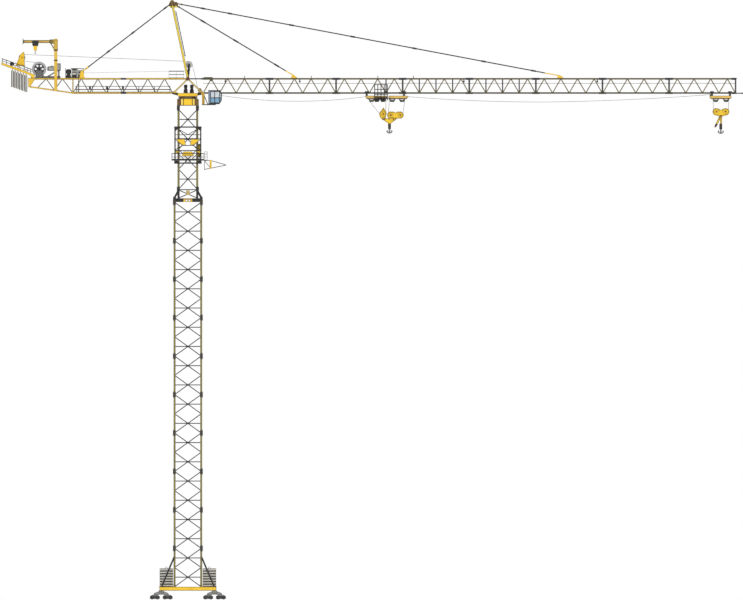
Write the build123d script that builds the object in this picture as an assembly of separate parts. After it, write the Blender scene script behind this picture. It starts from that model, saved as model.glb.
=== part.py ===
"""Top-slewing tower crane on a rail undercarriage, as a 1:10 scale model.

Millimetres, X along the jib, Z up, origin on the slewing axis at rail level.
"""

import os
from math import cos, radians, sqrt, tan

from build123d import *

# Undercarriage and bogies
GAUGE_HALF = 400.0
WHEEL_RADIUS = 27.5
WHEEL_WIDTH = 26.0
WHEEL_SPACING = 82.0
AXLE_RADIUS = 7.0
SUB_BOGIE_OFFSET = 96.0
ROCKER_PIVOT_Z = 106.6
ROCKER_THICKNESS = 35.0
CHEEK_THICKNESS = 7.0
FRAME_BOTTOM_Z = 132.0
FRAME_TOP_Z = 191.0
FRAME_BEAM_WIDTH = 50.0
FRAME_HALF_LENGTH = 428.0
PIVOT_PIN_RADIUS = 12.0
BASE_SLAB_COUNT = 7
BASE_SLAB_HEIGHT = 39.0
BASE_SLAB_INNER_X = 222.0
BASE_SLAB_OUTER_X = 424.0
BASE_SLAB_HALF_Y = 222.0

# Lower tower
TOWER_SECTIONS = 10
SECTION_HEIGHT = 577.0
TOWER_LEG_HALF = 200.0
TOWER_LEG = 30.0
TOWER_WALL = 2.0
TOWER_BRACE = 14.0
TOWER_CELLS = 2
COLLAR_HEIGHT = 30.0
COLLAR_PROUD = 4.0
STRUT_JOINT_HEIGHT = 460.0
STRUT_SIZE = 18.0

# Transition piece and upper tower
TRANSITION_HEIGHT = 198.0
HEAD_POST = 44.0
HEAD_POST_HEIGHT = 86.0
UPPER_LEG_HALF = 140.0
UPPER_LEG = 32.0
UPPER_CELLS = 4
UPPER_CELL_HEIGHT = 298.8
UPPER_TOWER_HEIGHT = 1251.0
RING_SUPPORT_HEIGHT = 102.0
RING_SUPPORT_HALF = 158.0
RING_RADIUS = 142.0
RING_BORE = 110.0
RING_HEIGHT = 37.0

# Climbing frame
CLIMB_COLUMN_HALF = 193.0
CLIMB_COLUMN = 20.0
CLIMB_RAISE = 380.0
CLIMB_HEIGHT = 561.0
CLIMB_DECK_RAISE = 47.0
CLIMB_DECK_HALF = 245.0
CYLINDER_BARREL_RADIUS = 14.0
CYLINDER_ROD_RADIUS = 8.0
CYLINDER_FOOT_RAISE = 107.0
CYLINDER_HEAD_RAISE = 286.0
CYLINDER_X = 170.0

# Slewing part and tower head
PLATFORM_HEIGHT = 50.0
PLATFORM_HALF_X = 145.0
PLATFORM_HALF_Y = 136.0
ARM_REACH = 222.0
ARM_THICKNESS = 12.5
KNOT_HEIGHT = 214.0
KNOT_PIN_RADIUS = 14.0
CHORD_HALF_Y = 110.0
HEAD_LEG_HALF_Y = 100.0
HEAD_HEIGHT = 1142.0
HEAD_APEX_X = -240.0
HEAD_APEX_HALF_Y = 34.0
HEAD_TUBE = 34.0
HEAD_WALL = 2.5
HEAD_PULLEY_X = 18.0
HEAD_PULLEY_HEIGHT = 213.0
PULLEY_GROOVE_RADIUS = 45.0
PULLEY_RIM_RADIUS = 52.0
PULLEY_WIDTH = 14.0
PULLEY_AXLE_RADIUS = 8.0
GUIDE_PULLEY_X = 177.0
GUIDE_PULLEY_HEIGHT = 46.0
GUIDE_GROOVE_RADIUS = 22.0

# Jib
JIB_ROOT_X = 225.0
JIB_SECTION = 1000.0
JIB_SECTIONS = 8
JIB_PITCH = 250.0
JIB_DEPTH = 213.0
JIB_CHORD = 24.0
JIB_WALL = 1.5
JIB_BRACE = 13.0
JIB_FRAME_BAR = 14.0
RAIL_THICKNESS = 6.0
RAIL_WIDTH = 17.5

# Pendants
PENDANT_PIN_RADIUS = 6.0
PENDANT_WIDTH = 17.0
INNER_PENDANT_X = 1596.0
OUTER_PENDANT_X = 5592.0
REAR_PENDANT_X = -1590.0
FRONT_FOOT_HEIGHT = 44.0
REAR_FOOT_HEIGHT = 92.0

# Counter-jib
COUNTER_DEPTH = 213.0
COUNTER_CHORD = 26.0
COUNTER_WALL = 1.5
COUNTER_BRACE = 13.0
COUNTER_FIRST_NODE_X = -226.0
COUNTER_POST_X = -1726.0
COUNTER_END_X = -2326.0
COUNTER_TAPER_X = -2389.0
COUNTER_TAPER_RISE = 96.0
BALLAST_ROOT_X = -2315.0
BALLAST_ROOT_RAISE = 52.0
BALLAST_BEAM_ANGLE = 20.0
BALLAST_BEAM_LENGTH = 517.0
BALLAST_BEAM_DEPTH = 35.0
BALLAST_BEAM_Y = 135.0
PLATE_COUNT = 6
PLATE_PITCH = 41.0
PLATE_THICKNESS = 38.0
PLATE_HEIGHT = 248.0
PLATE_HALF_Y = 118.0
PLATE_HANG = 44.0
PLATE_FIRST_X = -2430.0

# Machinery on the counter-jib
DRUM_X = -2233.0
DRUM_RAISE = 148.0
DRUM_FLANGE_RADIUS = 110.0
DRUM_BARREL_RADIUS = 84.0
DRUM_HALF_Y = 82.0
DRUM_SHAFT_RADIUS = 12.0
FIN_PULLEY_X = -2491.0
FIN_PULLEY_RAISE = 319.0
MOTOR_RAISE = 121.0
TROLLEY_DRUM_X = -1793.0
TROLLEY_DRUM_RAISE = 105.0
DERRICK_X = -1984.0
DERRICK_Y = -152.0
DERRICK_POST_RADIUS = 24.0
DERRICK_POST_HEIGHT = 602.0
DERRICK_COLLAR_RAISE = 421.0
DERRICK_BEAM_RAISE = 559.0
DERRICK_BEAM_HEIGHT = 44.0
DERRICK_BEAM_WIDTH = 24.0
DERRICK_REACH = 489.0
DERRICK_TROLLEY_REACH = 306.0

# Cab
CAB_BACK_X = 306.0
CAB_FRONT_X = 510.0
CAB_INNER_Y = -152.0
CAB_OUTER_Y = -300.0
CAB_DROP = 167.2
CAB_HEIGHT = 211.0
CAB_WALL = 6.0

# Trolleys and hook blocks
TROLLEY_WHEEL_RADIUS = 12.0
TROLLEY_WHEEL_WIDTH = 8.0
TROLLEY_PLATE_INNER_Y = 145.5
TROLLEY_PLATE = 5.5
TROLLEY_SHEAVE_RADIUS = 38.0
TROLLEY_SHEAVE_DROP = 95.0
INNER_BLOCK_DROP = 222.0
OUTER_BLOCK_DROP = 184.0
INNER_HOOK_X = 3027.0
OUTER_HOOK_X = 8001.0
INNER_SHEAVE_RADIUS = 34.0
DIAMOND_SHEAVE_RADIUS = 36.0
OUTER_SHEAVE_RADIUS = 40.0
SHEAVE_WIDTH = 16.0
CHEEK_GAP_HALF = 10.0
CHEEK_PLATE = 6.0
SHANK_RADIUS = 9.0
NUT_RADIUS = 14.0
CROSSHEAD_HEIGHT = 80.0
INNER_CROSSHEAD_DROP = 224.0
OUTER_CROSSHEAD_DROP = 267.0
SHANK_NECK = 15.0
HOOK_RING_RADIUS = 22.0
HOOK_THROAT_RADIUS = 11.0
HOOK_EYE_RADIUS = 5.0
ROPE_RADIUS = 3.0

# Fits
FACE_GAP = 0.3
RUNNING_FIT = 0.05
SLEWING_GAP = 1.0

# Levels
FIRST_SECTION_Z = FRAME_TOP_Z + FACE_GAP
TOWER_TOP_Z = FIRST_SECTION_Z + TOWER_SECTIONS * (SECTION_HEIGHT + FACE_GAP)
UPPER_BASE_Z = TOWER_TOP_Z + TRANSITION_HEIGHT + FACE_GAP
UPPER_TOP_Z = UPPER_BASE_Z + UPPER_TOWER_HEIGHT
CLIMB_BOTTOM_Z = UPPER_BASE_Z + CLIMB_RAISE
CLIMB_TOP_Z = CLIMB_BOTTOM_Z + CLIMB_HEIGHT
CLIMB_DECK_Z = CLIMB_BOTTOM_Z + CLIMB_DECK_RAISE
RING_BASE_Z = UPPER_TOP_Z + FACE_GAP + RING_SUPPORT_HEIGHT
RING_TOP_Z = RING_BASE_Z + FACE_GAP + RING_HEIGHT
PLATFORM_Z = RING_TOP_Z + SLEWING_GAP
PLATFORM_TOP_Z = PLATFORM_Z + PLATFORM_HEIGHT
KNOT_Z = PLATFORM_TOP_Z + KNOT_HEIGHT
HEAD_APEX_Z = KNOT_Z + HEAD_HEIGHT
HEAD_PULLEY_Z = KNOT_Z + HEAD_PULLEY_HEIGHT
GUIDE_PULLEY_Z = PLATFORM_TOP_Z + GUIDE_PULLEY_HEIGHT
JIB_TOP_Z = KNOT_Z
JIB_BOTTOM_Z = JIB_TOP_Z - JIB_DEPTH
COUNTER_TOP_Z = KNOT_Z
COUNTER_BOTTOM_Z = COUNTER_TOP_Z - COUNTER_DEPTH
MACHINE_BASE_Z = COUNTER_TOP_Z + COUNTER_CHORD / 2 + FACE_GAP
DRUM_Z = COUNTER_TOP_Z + DRUM_RAISE
FIN_PULLEY_Z = COUNTER_TOP_Z + FIN_PULLEY_RAISE
TROLLEY_SHEAVE_Z = JIB_BOTTOM_Z - TROLLEY_SHEAVE_DROP
INNER_BLOCK_Z = TROLLEY_SHEAVE_Z - INNER_BLOCK_DROP
OUTER_BLOCK_Z = TROLLEY_SHEAVE_Z - OUTER_BLOCK_DROP
INNER_RING_Z = INNER_BLOCK_Z - INNER_CROSSHEAD_DROP - SHANK_NECK - HOOK_RING_RADIUS
OUTER_RING_Z = OUTER_BLOCK_Z - OUTER_CROSSHEAD_DROP - SHANK_NECK - HOOK_RING_RADIUS
CAB_FLOOR_Z = PLATFORM_TOP_Z - CAB_DROP
CAB_ROOF_Z = CAB_FLOOR_Z + CAB_HEIGHT

REAR_PIN = (HEAD_APEX_X - 32, HEAD_APEX_Z - 26)
INNER_PIN = (HEAD_APEX_X + 82, HEAD_APEX_Z - 50)
OUTER_PIN = (HEAD_APEX_X + 64, HEAD_APEX_Z - 10)


def block(x_low, x_high, y_low, y_high, z_low, z_high):
    """Box between two corners."""
    centre = Pos((x_low + x_high) / 2, (y_low + y_high) / 2, (z_low + z_high) / 2)
    return centre * Box(x_high - x_low, y_high - y_low, z_high - z_low)


def bar(start, end, width, depth, normal=(0, 1, 0)):
    """Straight bar of flat or square section, its depth measured along the normal."""
    first = Vector(*start)
    last = Vector(*end)
    along = (last - first).normalized()
    across = Vector(*normal).cross(along).normalized()
    plane = Plane(origin=(first + last) * 0.5, x_dir=across, z_dir=along)
    return plane * Box(width, depth, (last - first).length)


def rod(start, end, radius, sides=8):
    """Many-sided rod between two points."""
    first = Vector(*start)
    last = Vector(*end)
    plane = Plane(origin=first, z_dir=(last - first).normalized())
    return extrude(plane * RegularPolygon(radius, sides), amount=(last - first).length)


def cross_rod(x, z, y_low, y_high, radius, sides=12):
    """Many-sided rod or disc along Y."""
    plane = Plane(origin=(x, y_low, z), x_dir=(1, 0, 0), z_dir=(0, 1, 0))
    return extrude(plane * RegularPolygon(radius, sides), amount=y_high - y_low)


def upright(x, y, z_low, z_high, radius, sides=20):
    """Many-sided disc or post along Z."""
    plane = Plane(origin=(x, y, z_low))
    return extrude(plane * RegularPolygon(radius, sides), amount=z_high - z_low)


def shaft(start, end, radius):
    """Round shaft or bore of a running fit."""
    first = Vector(*start)
    last = Vector(*end)
    plane = Plane(origin=(first + last) * 0.5, z_dir=(last - first).normalized())
    return plane * Cylinder(radius, (last - first).length)


def cross_shaft(x, z, y_low, y_high, radius):
    """Round shaft or bore along Y."""
    return shaft((x, y_low, z), (x, y_high, z), radius)


def plate(points, y_low, y_high):
    """Plate with a side profile of X and Z points."""
    plane = Plane(origin=(0, y_high, 0), x_dir=(1, 0, 0), z_dir=(0, -1, 0))
    face = plane * Polygon(*points, align=None)
    return extrude(face, amount=y_high - y_low, dir=(0, -1, 0))


def shifted(points, x, z):
    """Profile points moved to a place."""
    return [(x + point[0], z + point[1]) for point in points]


def join(pieces):
    """Fuse a list of solids into one shape."""
    return Part() + [solid for piece in pieces for solid in piece.solids()]


def save(name, *pieces):
    """Write one node, a single solid or several that stay apart."""
    solids = [solid for piece in pieces for solid in piece.solids()]
    shape = solids[0] if len(solids) == 1 else Compound(solids)
    export_step(shape, f"parts/{name}.step")


def pulley(x, z, groove_radius, rim_radius, width):
    """Rope pulley about Y with a V groove between its two rims."""
    sides = 28
    floor = 2.0
    rim = width / 2 - 2.0
    pieces = [cross_rod(x, z, -floor, floor, groove_radius, sides)]
    for side in (-1, 1):
        low, high = sorted((side * rim, side * width / 2))
        pieces.append(cross_rod(x, z, low, high, rim_radius, sides))
        near = Plane(origin=(x, side * floor, z), x_dir=(1, 0, 0), z_dir=(0, 1, 0))
        far = Plane(origin=(x, side * rim, z), x_dir=(1, 0, 0), z_dir=(0, 1, 0))
        inner = near * RegularPolygon(groove_radius, sides)
        outer = far * RegularPolygon(rim_radius, sides)
        pieces.append(loft([inner, outer]))
    return join(pieces)


# Undercarriage


def undercarriage_frame():
    """Grid of box beams with the clevis brackets and pins for the bogies."""
    half = FRAME_BEAM_WIDTH / 2
    low = FRAME_BOTTOM_Z
    high = FRAME_TOP_Z
    places = (-GAUGE_HALF, -TOWER_LEG_HALF, TOWER_LEG_HALF, GAUGE_HALF)
    pieces = []
    for place in places:
        ends = FRAME_HALF_LENGTH
        pieces.append(block(-ends, ends, place - half, place + half, low, high))
        ends = GAUGE_HALF
        pieces.append(block(place - half, place + half, -ends, ends, low, high))
    inner = ROCKER_THICKNESS / 2 + 5.3
    outer = inner + 9
    for x in (-GAUGE_HALF, GAUGE_HALF):
        for y in (-GAUGE_HALF, GAUGE_HALF):
            for side in (-1, 1):
                near, far = sorted((y + side * inner, y + side * outer))
                lug = [(-36, low + 2), (36, low + 2), (36, 96), (18, 78), (-18, 78), (-36, 96)]
                pieces.append(plate(shifted(lug, x, 0), near, far))
            pieces.append(cross_shaft(x, ROCKER_PIVOT_Z, y - outer, y + outer, PIVOT_PIN_RADIUS))
    return join(pieces)


def base_ballast():
    """Two stacks of concrete slabs on the inner beams."""
    slabs = []
    for side in (-1, 1):
        low, high = sorted((side * BASE_SLAB_INNER_X, side * BASE_SLAB_OUTER_X))
        for index in range(BASE_SLAB_COUNT):
            bottom = FRAME_TOP_Z + FACE_GAP + index * (BASE_SLAB_HEIGHT + FACE_GAP)
            top = bottom + BASE_SLAB_HEIGHT
            slabs.append(block(low, high, -BASE_SLAB_HALF_Y, BASE_SLAB_HALF_Y, bottom, top))
    return slabs


def base_struts():
    """Four corner struts from the tower legs to the ends of the frame."""
    struts = []
    leg_face = TOWER_LEG_HALF + TOWER_LEG / 2 + FACE_GAP
    top_z = FRAME_TOP_Z + STRUT_JOINT_HEIGHT
    seat = FRAME_TOP_Z + FACE_GAP
    for side_x in (-1, 1):
        for side_y in (-1, 1):
            top = (side_x * TOWER_LEG_HALF, side_y * TOWER_LEG_HALF, top_z)
            foot = (side_x * GAUGE_HALF, side_y * GAUGE_HALF, FRAME_TOP_Z - 10)
            strut = bar(top, foot, STRUT_SIZE, STRUT_SIZE, (side_x, -side_y, 0))
            shoe = block(-45, 45, -24, 24, seat, seat + 14)
            shoe = Pos(side_x * (FRAME_HALF_LENGTH - 45), side_y * GAUGE_HALF, 0) * shoe
            strut = join([strut, shoe])
            leg = block(-leg_face, leg_face, -leg_face, leg_face, 0, top_z + 200)
            below = block(-600, 600, -600, 600, 0, seat)
            struts.append(strut - leg - below)
    return struts


def bogie(corner_x, corner_y):
    """Rocker beam with two sub-bogies, and its four wheels."""
    half = ROCKER_THICKNESS / 2
    outer = half + CHEEK_THICKNESS
    rocker = [
        (-114, 62),
        (-108, 96),
        (-44, 122),
        (44, 122),
        (108, 96),
        (114, 62),
        (70, 58),
        (30, 74),
        (-30, 74),
        (-70, 58),
    ]
    cheek = [(-76, 14), (-72, 52), (-34, 72), (34, 72), (72, 52), (76, 14), (58, 8), (-58, 8)]
    beam = plate(shifted(rocker, corner_x, 0), corner_y - half, corner_y + half)
    bore = PIVOT_PIN_RADIUS + RUNNING_FIT
    beam -= cross_shaft(corner_x, ROCKER_PIVOT_Z, corner_y - outer, corner_y + outer, bore)
    pieces = [beam]
    wheels = []
    for side in (-1, 1):
        centre = corner_x + side * SUB_BOGIE_OFFSET
        axles = (centre - WHEEL_SPACING / 2, centre + WHEEL_SPACING / 2)
        for face in (-1, 1):
            low, high = sorted((face * half, face * outer))
            wall = plate(shifted(cheek, centre, 0), corner_y + low, corner_y + high)
            for x in axles:
                hole = AXLE_RADIUS + FACE_GAP
                wall -= cross_rod(x, WHEEL_RADIUS, corner_y - outer, corner_y + outer, hole)
            pieces.append(wall)
        for x in axles:
            reach = outer + 3
            width = WHEEL_WIDTH / 2
            axle = cross_rod(x, WHEEL_RADIUS, corner_y - reach, corner_y + reach, AXLE_RADIUS)
            tread = cross_rod(
                x, WHEEL_RADIUS, corner_y - width, corner_y + width, WHEEL_RADIUS, 24
            )
            wheels.append(join([axle, tread]))
    return [join(pieces)] + wheels


# Tower


def lattice_mast(bottom, height, half, leg, cells, cell_height, brace):
    """Square mast with crossed braces and a horizontal through each crossing."""
    pieces = []
    for x in (-half, half):
        for y in (-half, half):
            size = leg / 2
            pieces.append(block(x - size, x + size, y - size, y + size, bottom, bottom + height))
            size = leg / 2 + COLLAR_PROUD
            for low in (bottom, bottom + height - COLLAR_HEIGHT):
                collar = block(x - size, x + size, y - size, y + size, low, low + COLLAR_HEIGHT)
                pieces.append(collar)
    for cell in range(cells):
        low = bottom + cell * cell_height
        high = low + cell_height
        middle = (low + high) / 2
        for side in (-half, half):
            for lean in (-half, half):
                start = (-lean, side, low)
                end = (lean, side, high)
                pieces.append(bar(start, end, brace, brace, (0, 1, 0)))
                start = (side, -lean, low)
                end = (side, lean, high)
                pieces.append(bar(start, end, brace, brace, (1, 0, 0)))
            pieces.append(bar((-half, side, middle), (half, side, middle), brace, brace))
            pieces.append(bar((side, -half, middle), (side, half, middle), brace, brace, (1, 0, 0)))
    mast = join(pieces)
    over = half * 2
    mast &= block(-over, over, -over, over, bottom, bottom + height)
    bore = leg / 2 - TOWER_WALL
    for x in (-half, half):
        for y in (-half, half):
            mast -= block(x - bore, x + bore, y - bore, y + bore, bottom - 20, bottom + height + 20)
    return mast


def tower_sections():
    """All sections of the lower tower, one above the other."""
    cell = SECTION_HEIGHT / TOWER_CELLS
    section = lattice_mast(
        0, SECTION_HEIGHT, TOWER_LEG_HALF, TOWER_LEG, TOWER_CELLS, cell, TOWER_BRACE
    )
    step = SECTION_HEIGHT + FACE_GAP
    return [Pos(0, 0, FIRST_SECTION_Z + index * step) * section for index in range(TOWER_SECTIONS)]


def transition_piece():
    """Flared head of the lower tower that carries the narrower upper tower."""
    base = TOWER_TOP_Z
    top = base + TRANSITION_HEIGHT
    wide = TOWER_LEG_HALF
    narrow = UPPER_LEG_HALF
    post = HEAD_POST / 2
    leg = UPPER_LEG / 2
    inner = narrow - leg
    outer = wide + post
    floor = base + 48
    pieces = []
    for side_x in (-1, 1):
        for side_y in (-1, 1):
            x = side_x * wide
            y = side_y * wide
            high = base + HEAD_POST_HEIGHT
            pieces.append(block(x - post, x + post, y - post, y + post, base, high))
            start = (x, y, high - 16)
            end = (side_x * (narrow + 8), side_y * (narrow + 8), top - 34)
            pieces.append(bar(start, end, 22, 22, (side_x, -side_y, 0)))
            x = side_x * narrow
            y = side_y * narrow
            pieces.append(block(x - leg, x + leg, y - leg, y + leg, floor, top))
    for side in (-1, 1):
        low, high = sorted((side * inner, side * outer))
        pieces.append(block(-outer, outer, low, high, floor, floor + 12))
        pieces.append(block(low, high, -outer, outer, floor, floor + 12))
        low, high = sorted((side * (wide - 6), side * (wide + 6)))
        web = block(-wide, wide, low, high, base + 4, floor + 2)
        for x in (-22, 22):
            web -= cross_rod(x, base + 27, low - 1, high + 1, 14)
        pieces.append(web)
        pieces.append(block(low, high, -wide, wide, base + 4, floor + 2))
        for lean in (-1, 1):
            start = (-lean * narrow, side * narrow, top - 14)
            end = (lean * narrow, side * narrow, floor + 16)
            pieces.append(bar(start, end, TOWER_BRACE, TOWER_BRACE))
            start = (side * narrow, -lean * narrow, top - 14)
            end = (side * narrow, lean * narrow, floor + 16)
            pieces.append(bar(start, end, TOWER_BRACE, TOWER_BRACE, (1, 0, 0)))
        start = (-narrow, side * narrow, top - 8)
        end = (narrow, side * narrow, top - 8)
        pieces.append(bar(start, end, 14, 14))
        start = (side * narrow, -narrow, top - 8)
        end = (side * narrow, narrow, top - 8)
        pieces.append(bar(start, end, 14, 14, (1, 0, 0)))
        low, high = sorted((side * (narrow - 9), side * (narrow + 9)))
        pieces.append(block(-26, 26, low, high, top - 88, top - 20))
    body = join(pieces)
    post -= TOWER_WALL + 2
    leg -= TOWER_WALL
    for side_x in (-1, 1):
        for side_y in (-1, 1):
            x = side_x * wide
            y = side_y * wide
            body -= block(x - post, x + post, y - post, y + post, base - 1, base + 40)
            x = side_x * narrow
            y = side_y * narrow
            body -= block(x - leg, x + leg, y - leg, y + leg, floor + 20, top + 1)
    return body


def upper_tower():
    """Narrow mast between the transition piece and the slewing ring support."""
    return lattice_mast(
        UPPER_BASE_Z,
        UPPER_TOWER_HEIGHT,
        UPPER_LEG_HALF,
        UPPER_LEG,
        UPPER_CELLS,
        UPPER_CELL_HEIGHT,
        TOWER_BRACE,
    )


def ring_support():
    """Box under the slewing ring with upright ribs between its panels."""
    bottom = UPPER_TOP_Z + FACE_GAP
    top = bottom + RING_SUPPORT_HEIGHT
    half = RING_SUPPORT_HALF
    shell = block(-half, half, -half, half, bottom, top)
    shell -= block(-half + 8, half - 8, -half + 8, half - 8, bottom - 1, top - 8)
    shell -= upright(0, 0, top - 20, top + 20, 95)
    pieces = [shell]
    for side in (-1, 1):
        for place in (-67, 67):
            low, high = sorted((side * (half - 1), side * (half + 5)))
            pieces.append(block(place - 4, place + 4, low, high, bottom, top))
            pieces.append(block(low, high, place - 4, place + 4, bottom, top))
    return join(pieces)


def slewing_ring():
    """Fixed outer ring of the slewing bearing."""
    low = RING_BASE_Z + FACE_GAP
    plane = Plane(origin=(0, 0, low))
    profile = RegularPolygon(RING_RADIUS, 40) - RegularPolygon(RING_BORE, 40, major_radius=False)
    return extrude(plane * profile, amount=RING_HEIGHT)


# Climbing frame


def climbing_frame():
    """Open frame of columns, ring beams and guide shoes around the upper tower."""
    half = CLIMB_COLUMN_HALF
    size = CLIMB_COLUMN / 2
    low = CLIMB_BOTTOM_Z
    high = CLIMB_TOP_Z
    lower_ring = low + 199
    upper_ring = low + 379
    crown = low + 436
    waist = (lower_ring + upper_ring) / 2 - 15
    face = UPPER_LEG_HALF + UPPER_LEG / 2 + FACE_GAP
    reach = UPPER_LEG_HALF - UPPER_LEG / 2 - 12
    pieces = []
    for x in (-half, half):
        for y in (-half, half):
            pieces.append(block(x - size, x + size, y - size, y + size, low, high))
    levels = ((high - 10, 20), (crown, 10), (upper_ring, 10), (lower_ring, 14), (low + 10, 20))
    for z, width in levels:
        for side in (-half, half):
            pieces.append(bar((-half, side, z), (half, side, z), width, width))
            pieces.append(bar((side, -half, z), (side, half, z), width, width, (1, 0, 0)))
    for side in (-half, half):
        for lean in (-half, half):
            pieces.append(bar((lean, side, lower_ring + 8), (lean * 0.42, side, waist), 12, 12))
            pieces.append(bar((lean, side, upper_ring - 5), (lean * 0.42, side, waist), 12, 12))
            pieces.append(bar((lean, side, lower_ring), (0, side, low + 10), 10, 10))
            pieces.append(bar((side, lean, lower_ring), (side, 0, low + 10), 10, 10, (1, 0, 0)))
            pieces.append(bar((lean, side, high - 10), (0, side, crown), 10, 10))
            pieces.append(bar((side, lean, high - 10), (side, 0, crown), 10, 10, (1, 0, 0)))
        pieces.append(bar((-half * 0.45, side, waist), (half * 0.45, side, waist), 12, 12))
    for z in (low + 10, high - 10):
        for x in (-1, 1):
            for y in (-1, 1):
                near, far = sorted((x * face, x * (half + 5)))
                left, right = sorted((y * reach, y * (half + 5)))
                pieces.append(block(near, far, left, right, z - 10, z + 10))
                near, far = sorted((y * face, y * (half + 5)))
                left, right = sorted((x * reach, x * (half + 5)))
                pieces.append(block(left, right, near, far, z - 10, z + 10))
    bracket_z = low + CYLINDER_HEAD_RAISE + 4
    pieces.append(block(CYLINDER_X - 16, half + 5, -20, 20, bracket_z - 8, bracket_z + 8))
    pieces.append(bar((half, -half, bracket_z), (half, half, bracket_z), 12, 12, (1, 0, 0)))
    return join(pieces)


def climbing_walkway():
    """Railed deck around the foot of the climbing frame."""
    inner = CLIMB_COLUMN_HALF + CLIMB_COLUMN / 2 + FACE_GAP
    outer = CLIMB_DECK_HALF
    low = CLIMB_DECK_Z
    deck = block(-outer, outer, -outer, outer, low, low + 8)
    deck -= block(-inner, inner, -inner, inner, low - 1, low + 9)
    rails = [deck]
    edge = outer - 5
    for x in (-edge, edge):
        for y in (-edge, edge):
            rails.append(block(x - 4, x + 4, y - 4, y + 4, low, low + 110))
    for z in (low + 55, low + 106):
        for side in (-edge, edge):
            rails.append(bar((-edge, side, z), (edge, side, z), 6, 6))
            rails.append(bar((side, -edge, z), (side, edge, z), 6, 6, (1, 0, 0)))
    return join(rails)


def climbing_cylinder_barrel():
    """Hydraulic cylinder barrel hung from its bracket."""
    foot = CLIMB_BOTTOM_Z + CYLINDER_FOOT_RAISE
    head = CLIMB_BOTTOM_Z + CYLINDER_HEAD_RAISE - 4 - FACE_GAP
    barrel = upright(CYLINDER_X, 0, foot, head, CYLINDER_BARREL_RADIUS, 16)
    bore = CYLINDER_ROD_RADIUS + RUNNING_FIT
    return barrel - shaft((CYLINDER_X, 0, foot - 10), (CYLINDER_X, 0, head - 8), bore)


def climbing_cylinder_rod():
    """Cylinder rod standing on a lug beside the upper tower's second crossing."""
    face = UPPER_LEG_HALF + TOWER_BRACE / 2 + FACE_GAP
    crossing = UPPER_BASE_Z + 1.5 * UPPER_CELL_HEIGHT
    head = CLIMB_BOTTOM_Z + CYLINDER_HEAD_RAISE - 16
    stem = shaft((CYLINDER_X, 0, crossing), (CYLINDER_X, 0, head), CYLINDER_ROD_RADIUS)
    lug = block(face, CYLINDER_X + 11, -12, 12, crossing - 9, crossing + 9)
    return join([stem, lug])


def feed_arm():
    """Side arm that carries a tower section beside the climbing frame."""
    start = CLIMB_DECK_HALF + FACE_GAP
    z = CLIMB_DECK_Z
    knee = start + 96
    tip = start + 326
    pieces = []
    for y in (-46, 46):
        pieces.append(bar((start + 4, y, z - 138), (start + 4, y, z + 8), 8, 10))
        pieces.append(bar((start + 4, y, z + 2), (knee, y, z + 2), 10, 10))
        pieces.append(bar((start + 4, y, z - 132), (knee, y, z - 114), 10, 10))
        pieces.append(bar((knee, y, z - 122), (knee, y, z + 10), 30, 12))
        pieces.append(bar((knee, y, z + 2), (tip, y, z - 64), 10, 10))
        pieces.append(bar((knee, y, z - 114), (tip, y, z - 68), 10, 10))
        pieces.append(bar((start + 4, y, z + 2), (knee, y, z - 114), 8, 8))
    for x, height in ((start + 4, z - 130), (knee, z - 60), (tip - 5, z - 66)):
        pieces.append(bar((x, -50, height), (x, 50, height), 12, 12, (0, 0, 1)))
    return join(pieces)


# Slewing part


def slewing_platform():
    """Turntable frame with its inner ring, arms, struts, knot pin and guide pulley."""
    top = PLATFORM_TOP_Z
    half_x = PLATFORM_HALF_X
    half_y = PLATFORM_HALF_Y
    root_pin = JIB_ROOT_X - 13
    rear_pin = COUNTER_FIRST_NODE_X + 15
    pieces = [block(-half_x, half_x, -half_y, half_y, top - 14, top)]
    for side in (-1, 1):
        low, high = sorted((side * 95, side * half_y))
        pieces.append(block(-half_x, half_x, low, high, PLATFORM_Z, top))
        low, high = sorted((side * (half_y - ARM_THICKNESS), side * half_y))
        arm = [
            (-half_x, top - 40),
            (-ARM_REACH - 8, COUNTER_BOTTOM_Z - 18),
            (-ARM_REACH - 8, COUNTER_BOTTOM_Z + 25),
            (-190, COUNTER_BOTTOM_Z + 25),
            (-140, top),
            (140, top),
            (190, JIB_BOTTOM_Z + 39),
            (ARM_REACH - 2, JIB_BOTTOM_Z + 39),
            (ARM_REACH - 2, JIB_BOTTOM_Z - 18),
            (half_x, top - 40),
        ]
        pieces.append(plate(arm, low, high))
        middle = (low + high) / 2
        for end in (-ARM_REACH + 16, ARM_REACH - 16):
            start = (0, middle, KNOT_Z)
            pieces.append(bar(start, (end, middle, top + 12), 24, high - low))
        pieces.append(cross_rod(0, KNOT_Z, low, high, 26, 24))
        low, high = sorted((side * 97, side * (half_y + 4)))
        pieces.append(cross_rod(root_pin, JIB_BOTTOM_Z, low, high, 8))
        pieces.append(cross_rod(rear_pin, COUNTER_BOTTOM_Z, low, high, 8))
        low, high = sorted((side * 112, side * (half_y - ARM_THICKNESS)))
        carrier = (GUIDE_PULLEY_X - 12, GUIDE_PULLEY_X + 10)
        pieces.append(block(*carrier, low, high, top - 4, GUIDE_PULLEY_Z + 12))
    reach = half_y + 4
    pieces.append(cross_rod(0, KNOT_Z, -reach, reach, KNOT_PIN_RADIUS, 24))
    ring = upright(0, 0, RING_TOP_Z - 30, PLATFORM_Z + 2, RING_BORE - FACE_GAP, 40)
    pieces.append(ring - upright(0, 0, RING_TOP_Z - 31, PLATFORM_Z + 3, 85, 40))
    reach = half_y - ARM_THICKNESS
    pieces.append(cross_rod(GUIDE_PULLEY_X, GUIDE_PULLEY_Z, -reach, reach, 6))
    rim = GUIDE_GROOVE_RADIUS + 7
    pieces.append(pulley(GUIDE_PULLEY_X, GUIDE_PULLEY_Z, GUIDE_GROOVE_RADIUS, rim, PULLEY_WIDTH))
    return join(pieces) - upright(0, 0, PLATFORM_Z - 20, top + 20, 30)


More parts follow.
